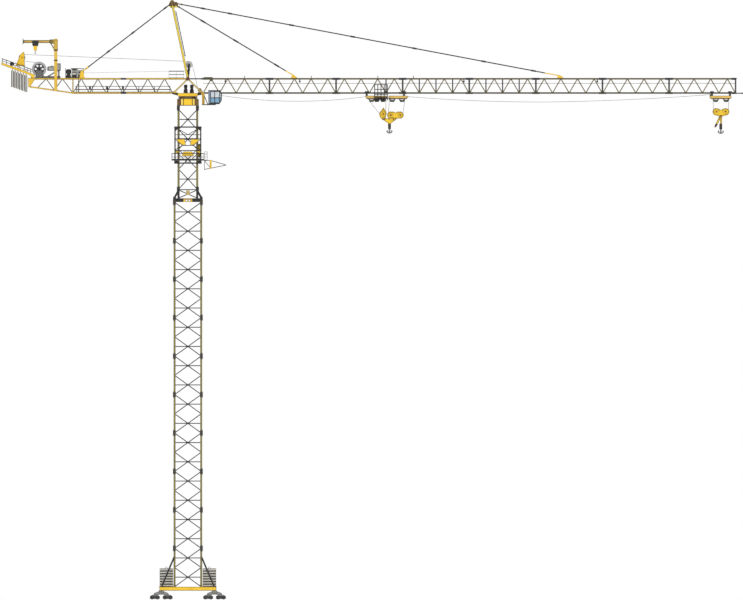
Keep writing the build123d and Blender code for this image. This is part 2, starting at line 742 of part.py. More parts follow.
def slewing_drives():
    """Two gear motors standing on the turntable frame."""
    foot = PLATFORM_TOP_Z + FACE_GAP
    drives = []
    for x, y in ((-33, -56), (59, 56)):
        body = upright(x, y, foot, foot + 52, 30, 16)
        neck = upright(x, y, foot + 44, foot + 84, 22, 16)
        cap = upright(x, y, foot + 82, foot + 118, 26, 16)
        drives.append(join([body, neck, cap]))
    return drives


def tower_head():
    """Raked frame of two hollow legs with cross ties, apex plates and pendant pins."""
    outer = []
    inner = []
    for side in (-1, 1):
        foot = (0, side * HEAD_LEG_HALF_Y, KNOT_Z)
        apex = (HEAD_APEX_X, side * HEAD_APEX_HALF_Y, HEAD_APEX_Z)
        outer.append(bar(foot, apex, HEAD_TUBE, HEAD_TUBE - 6))
        size = HEAD_TUBE - 2 * HEAD_WALL
        inner.append(bar(foot, apex, size, size - 6))
        low, high = sorted((side * 86, side * 114))
        outer.append(cross_rod(0, KNOT_Z, low, high, 28, 24))
    for share in (0.12, 0.3, 0.48, 0.66, 0.84):
        x = HEAD_APEX_X * share
        z = KNOT_Z + HEAD_HEIGHT * share
        half = HEAD_LEG_HALF_Y + (HEAD_APEX_HALF_Y - HEAD_LEG_HALF_Y) * share
        outer.append(bar((x, -half, z), (x, half, z), 16, 16, (1, 0, 0)))
    frame = join(outer)
    for piece in inner:
        frame -= piece
    frame -= cross_rod(0, KNOT_Z, -120, 120, KNOT_PIN_RADIUS + FACE_GAP, 24)
    cheek = [
        (-46, -44),
        (-42, -12),
        (-20, 34),
        (-4, 41),
        (20, 41),
        (38, 14),
        (78, 10),
        (96, -40),
        (90, -66),
        (60, -70),
        (-20, -76),
    ]
    pieces = [frame]
    for side in (-1, 1):
        low, high = sorted((side * 16, side * 28))
        pieces.append(plate(shifted(cheek, HEAD_APEX_X, HEAD_APEX_Z), low, high))
    x = HEAD_APEX_X
    z = HEAD_APEX_Z
    pieces.append(block(x - 11, x + 34, -40, 40, z - 76, z - 20))
    for pin_x, pin_z in (REAR_PIN, INNER_PIN, OUTER_PIN):
        pieces.append(cross_rod(pin_x, pin_z, -32, 32, PENDANT_PIN_RADIUS))
    return join(pieces)


def pulley_bracket():
    """Two cheeks that stand on the knot pin and carry the head pulley's axle."""
    outline = [
        (-16, KNOT_Z + 20),
        (20, KNOT_Z + 20),
        (34, HEAD_PULLEY_Z),
        (28, HEAD_PULLEY_Z + 16),
        (8, HEAD_PULLEY_Z + 16),
        (0, HEAD_PULLEY_Z),
    ]
    pieces = []
    for side in (-1, 1):
        low, high = sorted((side * 9, side * 14))
        pieces.append(plate(outline, low, high))
        pieces.append(cross_rod(0, KNOT_Z, low, high, 26, 24))
    pieces.append(cross_rod(0, KNOT_Z, -14, 14, 20, 24))
    pieces.append(cross_shaft(HEAD_PULLEY_X, HEAD_PULLEY_Z, -16, 16, PULLEY_AXLE_RADIUS))
    return join(pieces) - cross_rod(0, KNOT_Z, -20, 20, KNOT_PIN_RADIUS + FACE_GAP, 24)


def turning_pulley(x, z):
    """Large rope pulley with the bore of its axle."""
    wheel = pulley(x, z, PULLEY_GROOVE_RADIUS, PULLEY_RIM_RADIUS, PULLEY_WIDTH)
    return wheel - cross_shaft(x, z, -20, 20, PULLEY_AXLE_RADIUS + RUNNING_FIT)


def head_platform():
    """Railed service platform behind the foot of the tower head."""
    low = MACHINE_BASE_Z
    pieces = [block(-287, -60, -120, 120, low, low + 6)]
    for x in (-283, -175, -64):
        for y in (-116, 116):
            pieces.append(block(x - 4, x + 4, y - 4, y + 4, low, low + 104))
    for z in (low + 51, low + 101):
        for y in (-116, 116):
            pieces.append(bar((-287, y, z), (-60, y, z), 6, 6))
        pieces.append(bar((-283, -116, z), (-283, 116, z), 6, 6, (1, 0, 0)))
    return join(pieces)


# Jib


def jib_section(root_frame):
    """One jib section, its root at X zero, with or without the frame at its root."""
    start = FACE_GAP / 2
    end = JIB_SECTION - FACE_GAP / 2
    size = JIB_CHORD / 2
    count = round(JIB_SECTION / JIB_PITCH)
    nodes = [start + size / 2]
    nodes += [JIB_PITCH * index for index in range(1, count)]
    nodes.append(end - size / 2)
    frames = [nodes[0], nodes[-1]] if root_frame else [nodes[-1]]
    z = JIB_BOTTOM_Z
    pieces = [block(start, end, -size, size, JIB_TOP_Z - size, JIB_TOP_Z + size)]
    for side in (-1, 1):
        y = side * CHORD_HALF_Y
        pieces.append(block(start, end, y - size, y + size, z - size, z + size))
        low, high = sorted((y + side * (size - 1), y + side * (JIB_CHORD / 2 + RAIL_WIDTH)))
        pieces.append(block(start, end, low, high, z - 10, z - 10 + RAIL_THICKNESS))
        normal = (0, side * JIB_DEPTH, CHORD_HALF_Y)
        for index in range(count):
            top = (JIB_PITCH * (index + 0.5), 0, JIB_TOP_Z)
            pieces.append(bar((nodes[index], y, z), top, JIB_BRACE, JIB_BRACE, normal))
            pieces.append(bar((nodes[index + 1], y, z), top, JIB_BRACE, JIB_BRACE, normal))
        for x in frames:
            foot = (x, y, z)
            pieces.append(bar(foot, (x, 0, JIB_TOP_Z), JIB_FRAME_BAR, JIB_FRAME_BAR, normal))
    for x in nodes:
        ends = CHORD_HALF_Y
        pieces.append(bar((x, -ends, z), (x, ends, z), 9, 9, (0, 0, 1)))
    for index in range(count):
        lean = CHORD_HALF_Y if index % 2 else -CHORD_HALF_Y
        pieces.append(bar((nodes[index], lean, z), (nodes[index + 1], -lean, z), 9, 9, (0, 0, 1)))
    body = join(pieces)
    body &= block(start, end, -200, 200, JIB_BOTTOM_Z - 50, JIB_TOP_Z + size)
    bore = size - JIB_WALL
    for y, z in ((0, JIB_TOP_Z), (-CHORD_HALF_Y, JIB_BOTTOM_Z), (CHORD_HALF_Y, JIB_BOTTOM_Z)):
        body -= block(-10, JIB_SECTION + 10, y - bore, y + bore, z - bore, z + bore)
    return body


def jib_sections():
    """The jib sections, the first with its root lugs and no frame at its root."""
    section = jib_section(True)
    pieces = [Pos(JIB_ROOT_X, 0, 0) * jib_section(False)]
    pin_x = JIB_ROOT_X - 13
    z = JIB_BOTTOM_Z
    for side in (-1, 1):
        low, high = sorted((side * 100, side * 120))
        lug = block(pin_x - 14, JIB_ROOT_X + 1, low, high, z - 12, z + 12)
        pieces.append(lug - cross_rod(pin_x, z, low, high, 8 + FACE_GAP))
    sections = [join(pieces)]
    for index in range(1, JIB_SECTIONS):
        sections.append(Pos(JIB_ROOT_X + index * JIB_SECTION, 0, 0) * section)
    return sections


def jib_tie():
    """Tie from the knot pin to the start of the jib's top chord."""
    end = JIB_ROOT_X - FACE_GAP
    pieces = [block(end - 30, end, -21, 21, JIB_TOP_Z - 12, JIB_TOP_Z + 12)]
    for side in (-1, 1):
        low, high = sorted((side * 15, side * 21))
        pieces.append(cross_rod(0, KNOT_Z, low, high, 24, 24))
        pieces.append(bar((0, side * 18, KNOT_Z), (end - 10, side * 18, JIB_TOP_Z), 18, 6))
    return join(pieces) - cross_rod(0, KNOT_Z, -30, 30, KNOT_PIN_RADIUS + FACE_GAP, 24)


def jib_tip_buffer():
    """End frame of the jib with its rope anchor and buffers."""
    start = JIB_ROOT_X + JIB_SECTIONS * JIB_SECTION + FACE_GAP
    z = JIB_BOTTOM_Z
    pieces = [
        block(start, start + 10, -124, 124, z - 14, z + 14),
        block(start, start + 10, -10, 10, z, JIB_TOP_Z + 12),
    ]
    for side in (-1, 1):
        y = side * CHORD_HALF_Y
        pieces.append(block(start + 8, start + 90, y - 8, y + 8, z - 12, z + 4))
        pieces.append(block(start + 90, start + 110, y - 12, y + 12, z - 16, z + 8))
    pieces.append(block(start + 60, start + 72, -102, 102, z - 10, z + 2))
    return join(pieces)


# Pendants


def pendant(start, end, links, half_link):
    """Tie rod between two points with link blocks at shares of its length."""
    pieces = [bar(start, end, PENDANT_WIDTH, 11)]
    for share in links:
        near = [a + (b - a) * (share - half_link) for a, b in zip(start, end)]
        far = [a + (b - a) * (share + half_link) for a, b in zip(start, end)]
        pieces.append(bar(near, far, PENDANT_WIDTH + 9, 17))
    return pieces


def front_pendant(pin, foot_x, links, half_link):
    """Pendant on the centre line with its foot plate on the jib's top chord."""
    top = JIB_TOP_Z + JIB_CHORD / 2 + FACE_GAP
    foot_z = JIB_TOP_Z + FRONT_FOOT_HEIGHT
    pieces = pendant((pin[0], 0, pin[1]), (foot_x, 0, foot_z), links, half_link)
    foot = [(-50, 0), (50, 0), (30, 20), (-6, 44), (-32, 44)]
    pieces.append(plate(shifted(foot, foot_x, top), -11, 11))
    pieces.append(cross_rod(*pin, -15.5, 15.5, 14))
    body = join(pieces)
    body -= block(foot_x - 200, foot_x + 200, -40, 40, top - 60, top)
    return body - cross_rod(*pin, -20, 20, PENDANT_PIN_RADIUS + FACE_GAP)


def rear_pendants():
    """Pair of tie rods from the apex to the counter-jib's top chords."""
    top = MACHINE_BASE_Z
    foot_x = REAR_PENDANT_X
    foot_z = MACHINE_BASE_Z + REAR_FOOT_HEIGHT
    rods = []
    for side in (-1, 1):
        start = (REAR_PIN[0], side * 34, REAR_PIN[1])
        end = (foot_x, side * CHORD_HALF_Y, foot_z)
        pieces = pendant(start, end, (0.05, 0.42, 0.7, 0.94), 0.018)
        low, high = sorted((side * 102, side * 118))
        anchor = [(-40, 0), (40, 0), (20, REAR_FOOT_HEIGHT + 13), (-20, REAR_FOOT_HEIGHT + 13)]
        pieces.append(plate(shifted(anchor, foot_x, top), low, high))
        low, high = sorted((side * 28.3, side * 41))
        pieces.append(cross_rod(*REAR_PIN, low, high, 14))
        body = join(pieces)
        body -= cross_rod(*REAR_PIN, -60, 60, PENDANT_PIN_RADIUS + FACE_GAP)
        body -= block(-320, -130, -28.3, 28.3, HEAD_APEX_Z - 160, HEAD_APEX_Z + 50)
        rods.append(body)
    return rods


# Counter-jib


def beam_level(x):
    """Height of the inclined ballast beams' centre line."""
    return COUNTER_TOP_Z + BALLAST_ROOT_RAISE + (BALLAST_ROOT_X - x) * tan(radians(BALLAST_BEAM_ANGLE))


def counter_jib():
    """Box lattice with hollow chords, tapered at its outer end."""
    size = COUNTER_CHORD / 2
    top = COUNTER_TOP_Z
    bottom = COUNTER_BOTTOM_Z
    first = COUNTER_FIRST_NODE_X
    post = COUNTER_POST_X
    end = COUNTER_END_X
    taper = COUNTER_TAPER_X
    taper_z = bottom + COUNTER_TAPER_RISE
    count = round((first - post) / JIB_PITCH)
    brace = COUNTER_BRACE
    pieces = []
    for side in (-1, 1):
        y = side * CHORD_HALF_Y
        pieces.append(block(end, -34, y - size, y + size, top - size, top + size))
        pieces.append(block(post - size, first, y - size, y + size, bottom - size, bottom + size))
        for index in range(count):
            near = first - index * JIB_PITCH
            middle = near - JIB_PITCH / 2
            far = near - JIB_PITCH
            pieces.append(bar((near - 2, y, bottom), (middle, y, top), brace, brace))
            pieces.append(bar((middle, y, top), (far, y, bottom), brace, brace))
        pieces.append(bar((post, y, bottom), (post, y, top), 20, 20))
        pieces.append(bar((post, y, bottom), (taper, y, taper_z), 22, 22))
        for low, high in ((post, -1883), (-2004, -1883), (-2004, -2126), (-2260, -2126)):
            z = bottom + (low - post) / (taper - post) * COUNTER_TAPER_RISE
            pieces.append(bar((low, y, z), (high, y, top), brace, brace))
        gusset = [
            (taper - 12, top + size),
            (end + 26, top + size),
            (end + 26, top - size),
            (taper + 19, taper_z - 7),
            (taper - 7, taper_z - 7),
        ]
        pieces.append(plate(gusset, y - size, y + size))
        low, high = sorted((side * 117, side * 122.7))
        pieces.append(block(-60, 0, low, high, top - size, top + size))
        pieces.append(cross_rod(0, KNOT_Z, low, high, 22, 24))
        low, high = sorted((side * 100, side * 120))
        pieces.append(block(first - 1, first + 28, low, high, bottom - 12, bottom + 12))
    for x in (-60, -351, -601, -851, -1101, -1351, -1601, -1883, -2126, -2310):
        pieces.append(bar((x, -CHORD_HALF_Y, top), (x, CHORD_HALF_Y, top), 12, 12, (0, 0, 1)))
    for index in range(count + 1):
        x = first - index * JIB_PITCH
        x = x - 8 if index == 0 else x
        pieces.append(bar((x, -CHORD_HALF_Y, bottom), (x, CHORD_HALF_Y, bottom), 12, 12, (0, 0, 1)))
    x = taper + 9
    z = taper_z + 3
    pieces.append(bar((x, -CHORD_HALF_Y, z), (x, CHORD_HALF_Y, z), 14, 14, (0, 0, 1)))
    body = join(pieces)
    bore = size - COUNTER_WALL
    for y in (-CHORD_HALF_Y, CHORD_HALF_Y):
        body -= block(end + 36, 0, y - bore, y + bore, top - bore, top + bore)
        body -= block(post + 20, first - 4, y - bore, y + bore, bottom - bore, bottom + bore)
    body -= cross_rod(0, KNOT_Z, -130, 130, KNOT_PIN_RADIUS + FACE_GAP, 24)
    return body - cross_rod(first + 15, bottom, -130, 130, 8 + FACE_GAP)


def counter_walkway():
    """Grating floor on the counter-jib's bottom chords with inner handrails."""
    low = COUNTER_BOTTOM_Z + COUNTER_CHORD / 2 + FACE_GAP
    pieces = [block(-1700, -250, -103, 103, low, low + 6)]
    for y in (-90, 90):
        for z in (low + 39, low + 87):
            pieces.append(bar((-1690, y, z), (-260, y, z), 6, 6))
        for index in range(7):
            x = -270 - index * 233
            pieces.append(block(x - 3, x + 3, y - 3, y + 3, low, low + 90))
    return join(pieces)


def ballast_beams():
    """Inclined pair of beams at the outer end, with cross ties and feet."""
    reach = BALLAST_BEAM_LENGTH * cos(radians(BALLAST_BEAM_ANGLE))
    root_x = BALLAST_ROOT_X
    tip_x = root_x - reach
    side_y = BALLAST_BEAM_Y
    top = MACHINE_BASE_Z
    pieces = []
    for side in (-1, 1):
        y = side * side_y
        root = (root_x, y, beam_level(root_x))
        tip = (tip_x, y, beam_level(tip_x))
        pieces.append(bar(root, tip, BALLAST_BEAM_DEPTH, 14))
        low, high = sorted((side * 97, side * 142))
        pieces.append(block(root_x - 45, root_x + 15, low, high, top, top + BALLAST_ROOT_RAISE - 5))
    gaps = [PLATE_FIRST_X - (index + 0.5) * PLATE_PITCH for index in (0, 2, 4)]
    for x in [root_x - 24, tip_x + 12] + gaps:
        z = beam_level(x)
        pieces.append(bar((x, -side_y, z), (x, side_y, z), 10, 10, (0, 0, 1)))
    return join(pieces) - block(-2450, -2200, -200, 200, top - 60, top)


def counter_ballast():
    """Row of concrete plates hung from cross bars on the inclined beams."""
    plates = []
    slope = tan(radians(BALLAST_BEAM_ANGLE))
    half_depth = BALLAST_BEAM_DEPTH / 2 / cos(radians(BALLAST_BEAM_ANGLE))
    for index in range(PLATE_COUNT):
        x = PLATE_FIRST_X - index * PLATE_PITCH
        top = beam_level(x) - PLATE_HANG
        near = x - PLATE_THICKNESS / 2
        far = x + PLATE_THICKNESS / 2
        pieces = [block(near, far, -PLATE_HALF_Y, PLATE_HALF_Y, top - PLATE_HEIGHT, top)]
        seat = beam_level(x) + half_depth + 9 * slope + FACE_GAP
        pieces.append(block(x - 9, x + 9, -146, 146, seat, seat + 14))
        for y in (-100, 100):
            pieces.append(block(x - 7, x + 7, y - 7, y + 7, top - 1, seat + 2))
        plates.append(join(pieces))
    return plates


def load_fin():
    """Sheet bracket with the rear rope pulley's axle, standing on the beams."""
    z = FIN_PULLEY_Z
    outline = [(-97, -126), (-30, 39), (12, 83), (36, 79), (41, -126), (7, -126)]
    pieces = []
    for side in (-1, 1):
        low, high = sorted((side * 9, side * 14))
        pieces.append(plate(shifted(outline, FIN_PULLEY_X, z), low, high))
    half_depth = BALLAST_BEAM_DEPTH / 2 / cos(radians(BALLAST_BEAM_ANGLE))
    foot = z - 126
    for index in (0, 2):
        x = PLATE_FIRST_X - (index + 0.5) * PLATE_PITCH
        level = beam_level(x)
        rail = level + half_depth + 28
        pieces.append(block(x - 6, x + 6, -142, 142, rail, rail + 12))
        pieces.append(block(x - 5, x + 5, -14, 14, rail, foot + 16))
        for y in (-BALLAST_BEAM_Y, BALLAST_BEAM_Y):
            pieces.append(block(x - 5, x + 5, y - 7, y + 7, level, rail + 2))
    pieces.append(block(FIN_PULLEY_X - 70, FIN_PULLEY_X + 46, -14, 14, foot + 2, foot + 14))
    pieces.append(cross_shaft(FIN_PULLEY_X, z, -18, 18, PULLEY_AXLE_RADIUS))
    return join(pieces)


def winch_frame():
    """Hoist winch base with two bearing stands."""
    base = MACHINE_BASE_Z
    pieces = [
        block(-2296, -2280, -124, 124, base, base + 8),
        block(-2168, -2148, -124, 124, base, base + 18),
        block(-1932, -1912, -124, 124, base, base + 18),
    ]
    for side in (-1, 1):
        low, high = sorted((side * 92, side * 106))
        stand = [
            (-2296, base),
            (-1912, base),
            (-1912, base + 18),
            (-2160, base + 26),
            (DRUM_X + 21, DRUM_Z + 24),
            (DRUM_X - 21, DRUM_Z + 24),
        ]
        body = plate(stand, low, high)
        bore = DRUM_SHAFT_RADIUS + RUNNING_FIT
        pieces.append(body - cross_shaft(DRUM_X, DRUM_Z, low - 1, high + 1, bore))
    return join(pieces)


def hoist_drum():
    """Hollow rope drum with flanges, hubs and a shaft."""
    half = DRUM_HALF_Y
    barrel = cross_rod(DRUM_X, DRUM_Z, -half, half, DRUM_BARREL_RADIUS, 28)
    barrel -= cross_rod(DRUM_X, DRUM_Z, -half, half, DRUM_BARREL_RADIUS - 5, 28)
    pieces = [barrel]
    hole = Pos(52, 0) * RegularPolygon(16, 8)
    for side in (-1, 1):
        low, high = sorted((side * (half - 7), side * half))
        plane = Plane(origin=(DRUM_X, low, DRUM_Z), x_dir=(1, 0, 0), z_dir=(0, 1, 0))
        profile = RegularPolygon(DRUM_FLANGE_RADIUS, 28)
        for index in range(6):
            profile -= Rot(0, 0, 60 * index) * hole
        pieces.append(extrude(plane * profile, amount=high - low))
    pieces.append(cross_shaft(DRUM_X, DRUM_Z, -112, 112, DRUM_SHAFT_RADIUS))
    return join(pieces)


def winch_motor():
    """Motor and gearbox on an angled bracket beside the drum."""
    base = MACHINE_BASE_Z + 18 + FACE_GAP
    low = COUNTER_TOP_Z + MOTOR_RAISE
    pieces = [
        block(-2100, -1990, -60, 60, low, low + 63),
        block(-1991, -1911, -70, 70, low, low + 110),
        block(-2160, -1912, -88, 88, base, base + 8),
    ]
    for side in (-1, 1):
        near, far = sorted((side * 46, side * 56))
        leg = [(-2120, base + 4), (-2080, base + 4), (-1935, low + 4), (-1975, low + 4)]
        pieces.append(plate(leg, near, far))
        leg = [(-1950, base + 4), (-1926, base + 4), (-1926, low + 4), (-1950, low + 4)]
        pieces.append(plate(leg, near, far))
    return join(pieces)


def trolley_winch():
    """Open frame with the trolley travel winch and its switch cabinets."""
    base = MACHINE_BASE_Z
    high = base + 146
    x = TROLLEY_DRUM_X
    z = COUNTER_TOP_Z + TROLLEY_DRUM_RAISE
    pieces = [block(-1840, -1560, -80, 80, base, base + 12)]
    for place in (-1840, -1720):
        pieces.append(block(place, place + 25, -122, 122, base, base + 12))
    pieces.append(block(-1742, -1668, -64, 64, base + 10, high - 2))
    pieces.append(block(-1650, -1572, -64, 64, base + 10, high - 26))
    for side in (-1, 1):
        y = side * 75
        for place in (-1835, -1755, -1660, -1565):
            pieces.append(block(place - 5, place + 5, y - 5, y + 5, base + 2, high))
        pieces.append(block(-1760, -1560, y - 5, y + 5, high - 10, high))
        pieces.append(block(-1840, -1750, y - 5, y + 5, high - 52, high - 42))
    for place in (-1755, -1565):
        pieces.append(block(place - 5, place + 5, -75, 75, high - 10, high))
    pieces.append(cross_rod(x, z, -76, 76, 9))
    pieces.append(cross_rod(x, z, -56, 56, 30, 16))
    for side in (-1, 1):
        low, high = sorted((side * 50, side * 56))
        pieces.append(cross_rod(x, z, low, high, 42, 20))
        low, high = sorted((side * 71, side * 79))
        stand = [(-42, base - z + 8), (38, base - z + 8), (12, 14), (-12, 14)]
        pieces.append(plate(shifted(stand, x, z), low, high))
    return join(pieces)


def derrick_post():
    """Post on the counter-jib's side with two collars and two brackets."""
    foot = COUNTER_BOTTOM_Z + 27
    head = COUNTER_TOP_Z + DERRICK_POST_HEIGHT
    pieces = [shaft((DERRICK_X, DERRICK_Y, foot), (DERRICK_X, DERRICK_Y, head), DERRICK_POST_RADIUS)]
    for drop in (150, 0):
        z = COUNTER_TOP_Z + DERRICK_COLLAR_RAISE - drop
        pieces.append(upright(DERRICK_X, DERRICK_Y, z, z + 14, 32, 16))
    face = -CHORD_HALF_Y - COUNTER_CHORD / 2 - FACE_GAP
    z = COUNTER_TOP_Z
    pieces.append(block(DERRICK_X - 28, DERRICK_X + 28, DERRICK_Y, face, z - 12, z + 12))
    face = -CHORD_HALF_Y - 11 - FACE_GAP
    pieces.append(block(DERRICK_X - 24, DERRICK_X + 24, DERRICK_Y, face, foot, foot + 22))
    return join(pieces)


def derrick_beam():
    """Swinging beam with its sleeve on the post."""
    z = COUNTER_TOP_Z + DERRICK_BEAM_RAISE
    low = z - DERRICK_BEAM_HEIGHT / 2
    high = z + DERRICK_BEAM_HEIGHT / 2
    half = DERRICK_BEAM_WIDTH / 2
    start = DERRICK_X - DERRICK_REACH
    end = DERRICK_X - 28
    seat = COUNTER_TOP_Z + DERRICK_COLLAR_RAISE + 14 + FACE_GAP
    pieces = [
        block(start, end, DERRICK_Y - 3, DERRICK_Y + 3, low, high),
        block(start, end, DERRICK_Y - half, DERRICK_Y + half, low, low + 5),
        block(start, end, DERRICK_Y - half, DERRICK_Y + half, high - 5, high),
        block(start - 5, start, DERRICK_Y - 20, DERRICK_Y + 20, low - 24, high + 24),
        block(end - 60, end + 2, DERRICK_Y - 16, DERRICK_Y + 16, low - 10, high + 10),
        upright(DERRICK_X, DERRICK_Y, seat, high + 5, 33, 16),
        bar((end + 2, DERRICK_Y, seat + 15), (end - 52, DERRICK_Y, low + 2), 14, 10),
    ]
    bore = DERRICK_POST_RADIUS + RUNNING_FIT
    return join(pieces) - shaft((DERRICK_X, DERRICK_Y, seat - 50), (DERRICK_X, DERRICK_Y, high + 90), bore)


def derrick_trolley():
    """Chain hoist that runs on the derrick beam's lower flange."""
    x = DERRICK_X - DERRICK_TROLLEY_REACH
    low = COUNTER_TOP_Z + DERRICK_BEAM_RAISE - DERRICK_BEAM_HEIGHT / 2
    half = DERRICK_BEAM_WIDTH / 2
    y = DERRICK_Y
    pieces = []
    for side in (-1, 1):
        near, far = sorted((side * (half + 5), side * (half + 10)))
        pieces.append(block(x - 47, x + 47, y + near, y + far, low - 30, low + 34))
        for end in (-28, 28):
            near, far = sorted((side * 5, side * (half + 6)))
            pieces.append(cross_rod(x + end, low + 5.3 + 9, y + near, y + far, 9))
    pieces.append(block(x - 40, x + 40, y - half - 7, y + half + 7, low - 50, low - 12))
    pieces.append(block(x - 26, x + 26, y - 20, y + 20, low - 112, low - 44))
    pieces.append(rod((x, y, low - 110), (x, y, low - 138), 5))
    plane = Plane(origin=(x, y + 4, low - 149), x_dir=(1, 0, 0), z_dir=(0, -1, 0))
    ring = extrude(plane * (RegularPolygon(15, 12) - RegularPolygon(7, 8)), amount=8)
    ring -= block(x + 2, x + 18, y - 6, y + 6, low - 149, low - 140)
    pieces.append(ring)
    return join(pieces)


# Cab


def cab_body():
    """Cab shell with a sloping front and window openings."""
    back = CAB_BACK_X
    front = CAB_FRONT_X
    low = CAB_FLOOR_Z
    high = CAB_ROOF_Z
    wall = CAB_WALL
    outline = [
        (back, low),
        (front - 36, low),
        (front, low + 60),
        (front, high - 50),
        (front - 26, high),
        (back, high),
    ]
    hollow = [
        (back + wall, low + wall),
        (front - 36 - wall / 2, low + wall),
        (front - wall, low + 60 + wall / 2),
        (front - wall, high - 50 - wall / 2),
        (front - 26 - wall / 2, high - wall),
        (back + wall, high - wall),
    ]
    lower_window = [
        (back + 34, low + 16),
        (front - 44, low + 16),
        (front - 14, low + 64),
        (front - 14, low + 92),
        (back + 34, low + 92),
    ]
    upper_window = [
        (back + 34, low + 100),
        (front - 14, low + 100),
        (front - 14, high - 54),
        (front - 34, high - 20),
        (back + 34, high - 20),
    ]
    shell = plate(outline, CAB_OUTER_Y, CAB_INNER_Y)
    shell -= plate(hollow, CAB_OUTER_Y + wall, CAB_INNER_Y - wall)
    shell -= plate(lower_window, CAB_OUTER_Y - 1, CAB_INNER_Y + 1)
    shell -= plate(upper_window, CAB_OUTER_Y - 1, CAB_INNER_Y + 1)
    left = CAB_OUTER_Y + 18
    right = CAB_INNER_Y - 18
    return shell - block(front - 32, front + 5, left, right, low + 68, high - 56)


def cab_glass():
    """Panes just inside the cab's window openings."""
    back = CAB_BACK_X
    front = CAB_FRONT_X
    low = CAB_FLOOR_Z
    high = CAB_ROOF_Z
    gap = CAB_WALL + FACE_GAP
    pane = [
        (back + 28, low + 10),
        (front - 50, low + 10),
        (front - 14, low + 62),
        (front - 14, high - 56),
        (front - 38, high - 14),
        (back + 28, high - 14),
    ]
    left = plate(pane, CAB_OUTER_Y + gap, CAB_OUTER_Y + gap + 3)
    right = plate(pane, CAB_INNER_Y - gap - 3, CAB_INNER_Y - gap)
    face = front - gap
    screen = block(face - 3, face, CAB_OUTER_Y + 14, CAB_INNER_Y - 14, low + 64, high - 54)
    return [left, right, screen]


def cab_platform():
    """Hanger post, floor deck and brace that carry the cab."""
    deck = CAB_FLOOR_Z - FACE_GAP
    top = PLATFORM_TOP_Z
    inner = -CHORD_HALF_Y - JIB_CHORD / 2 - RAIL_WIDTH - 0.8
    face = -PLATFORM_HALF_Y - FACE_GAP
    pieces = [block(212, 420, CAB_OUTER_Y, inner - 8, deck - 14, deck)]
    pieces.append(block(212, 251, -172, inner, deck - 14, top + 10))
    pieces.append(block(150, 251, -172, inner, top - 30, top + 10))
    pieces.append(block(150, JIB_ROOT_X - 25, -150, face, top - 30, top + 10))
    pieces.append(bar((236, -162, top - 14), (300, -162, deck - 8), 12, 12))
    return join(pieces)


# Trolleys, hook blocks and ropes


def trolley_frame(units, wheel_places, sheave_places):
    """Trolley of one or two units hung from the jib's bottom rails."""
    rail_top = JIB_BOTTOM_Z - 10 + RAIL_THICKNESS
    axle_z = rail_top + FACE_GAP + TROLLEY_WHEEL_RADIUS
    z = TROLLEY_SHEAVE_Z
    inner = TROLLEY_PLATE_INNER_Y
    outer = inner + TROLLEY_PLATE
    start = min(low for low, high in units)
    end = max(high for low, high in units)
    pieces = []
    for side in (-1, 1):
        near, far = sorted((side * inner, side * outer))
        for low, high in units:
            panel = [
                (low, z + 20),
                (low, z + 46),
                (low + 14, z + 54),
                (high - 14, z + 54),
                (high, z + 46),
                (high, z + 20),
                (high - 10, z + 12),
                (low + 10, z + 12),
            ]
            pieces.append(plate(panel, near, far))
        pieces.append(block(start + 20, end - 20, near, far, z + 4, z + 16))
        for x in sheave_places:
            scallop = [(-52, 10), (-28, -40), (28, -40), (52, 10)]
            pieces.append(plate(shifted(scallop, x, z), near, far))
        for x in wheel_places:
            hanger = [(-18, z + 40), (18, z + 40), (14, axle_z + 10), (-14, axle_z + 10)]
            pieces.append(plate(shifted(hanger, x, 0), near, far))
            low, high = sorted((side * 127.5, side * (127.5 + TROLLEY_WHEEL_WIDTH)))
            pieces.append(cross_rod(x, axle_z, low, high, TROLLEY_WHEEL_RADIUS, 16))
            low, high = sorted((side * 135, side * (inner + 1)))
            pieces.append(cross_rod(x, axle_z, low, high, 5, 8))
    for x in sorted({units[0][0] + 14, units[-1][1] - 14}):
        pieces.append(block(x - 7, x + 7, -outer, outer, z + 20, z + 40))
    half = SHEAVE_WIDTH / 2
    for x in sheave_places:
        pieces.append(cross_rod(x, z, -half, half, TROLLEY_SHEAVE_RADIUS, 20))
        pieces.append(cross_rod(x, z, -outer, outer, 6, 8))
    return join(pieces)


def inner_trolley():
    """Double trolley with a rope lug at each end."""
    frame = trolley_frame(
        [(2674, 2997), (3012, 3300)],
        (2685, 3245),
        (2758, 2836, 2930, 3069, 3216),
    )
    z = TROLLEY_SHEAVE_Z
    lugs = [block(2664, 2690, -7, 7, z + 30, z + 48), block(3284, 3310, -7, 7, z + 30, z + 48)]
    return join([frame] + lugs)


def outer_trolley():
    """Single trolley with its rope lug."""
    frame = trolley_frame([(7833, 8163)], (7869, 8139), (7926, 8081))
    return join([frame, block(7836, 7852, -7, 7, TROLLEY_SHEAVE_Z + 30, TROLLEY_SHEAVE_Z + 78)])


def maintenance_cage():
    """Open service basket on the side of the inner trolley."""
    inner = -TROLLEY_PLATE_INNER_Y - TROLLEY_PLATE - FACE_GAP
    outer = inner - 80
    low = TROLLEY_SHEAVE_Z - 17
    high = TROLLEY_SHEAVE_Z + 225
    pieces = [block(2800, 3000, outer, inner, low, low + 6)]
    for x in (2804, 2852, 2900, 2948, 2996):
        for y in (outer + 4, inner - 4):
            pieces.append(block(x - 4, x + 4, y - 4, y + 4, low, high))
    for z in (low + 45, low + 90, low + 165, high - 4):
        for y in (outer + 4, inner - 4):
            pieces.append(bar((2800, y, z), (3000, y, z), 7, 7))
        for x in (2804, 2996):
            pieces.append(bar((x, outer + 4, z), (x, inner - 4, z), 7, 7, (1, 0, 0)))
    return join(pieces)


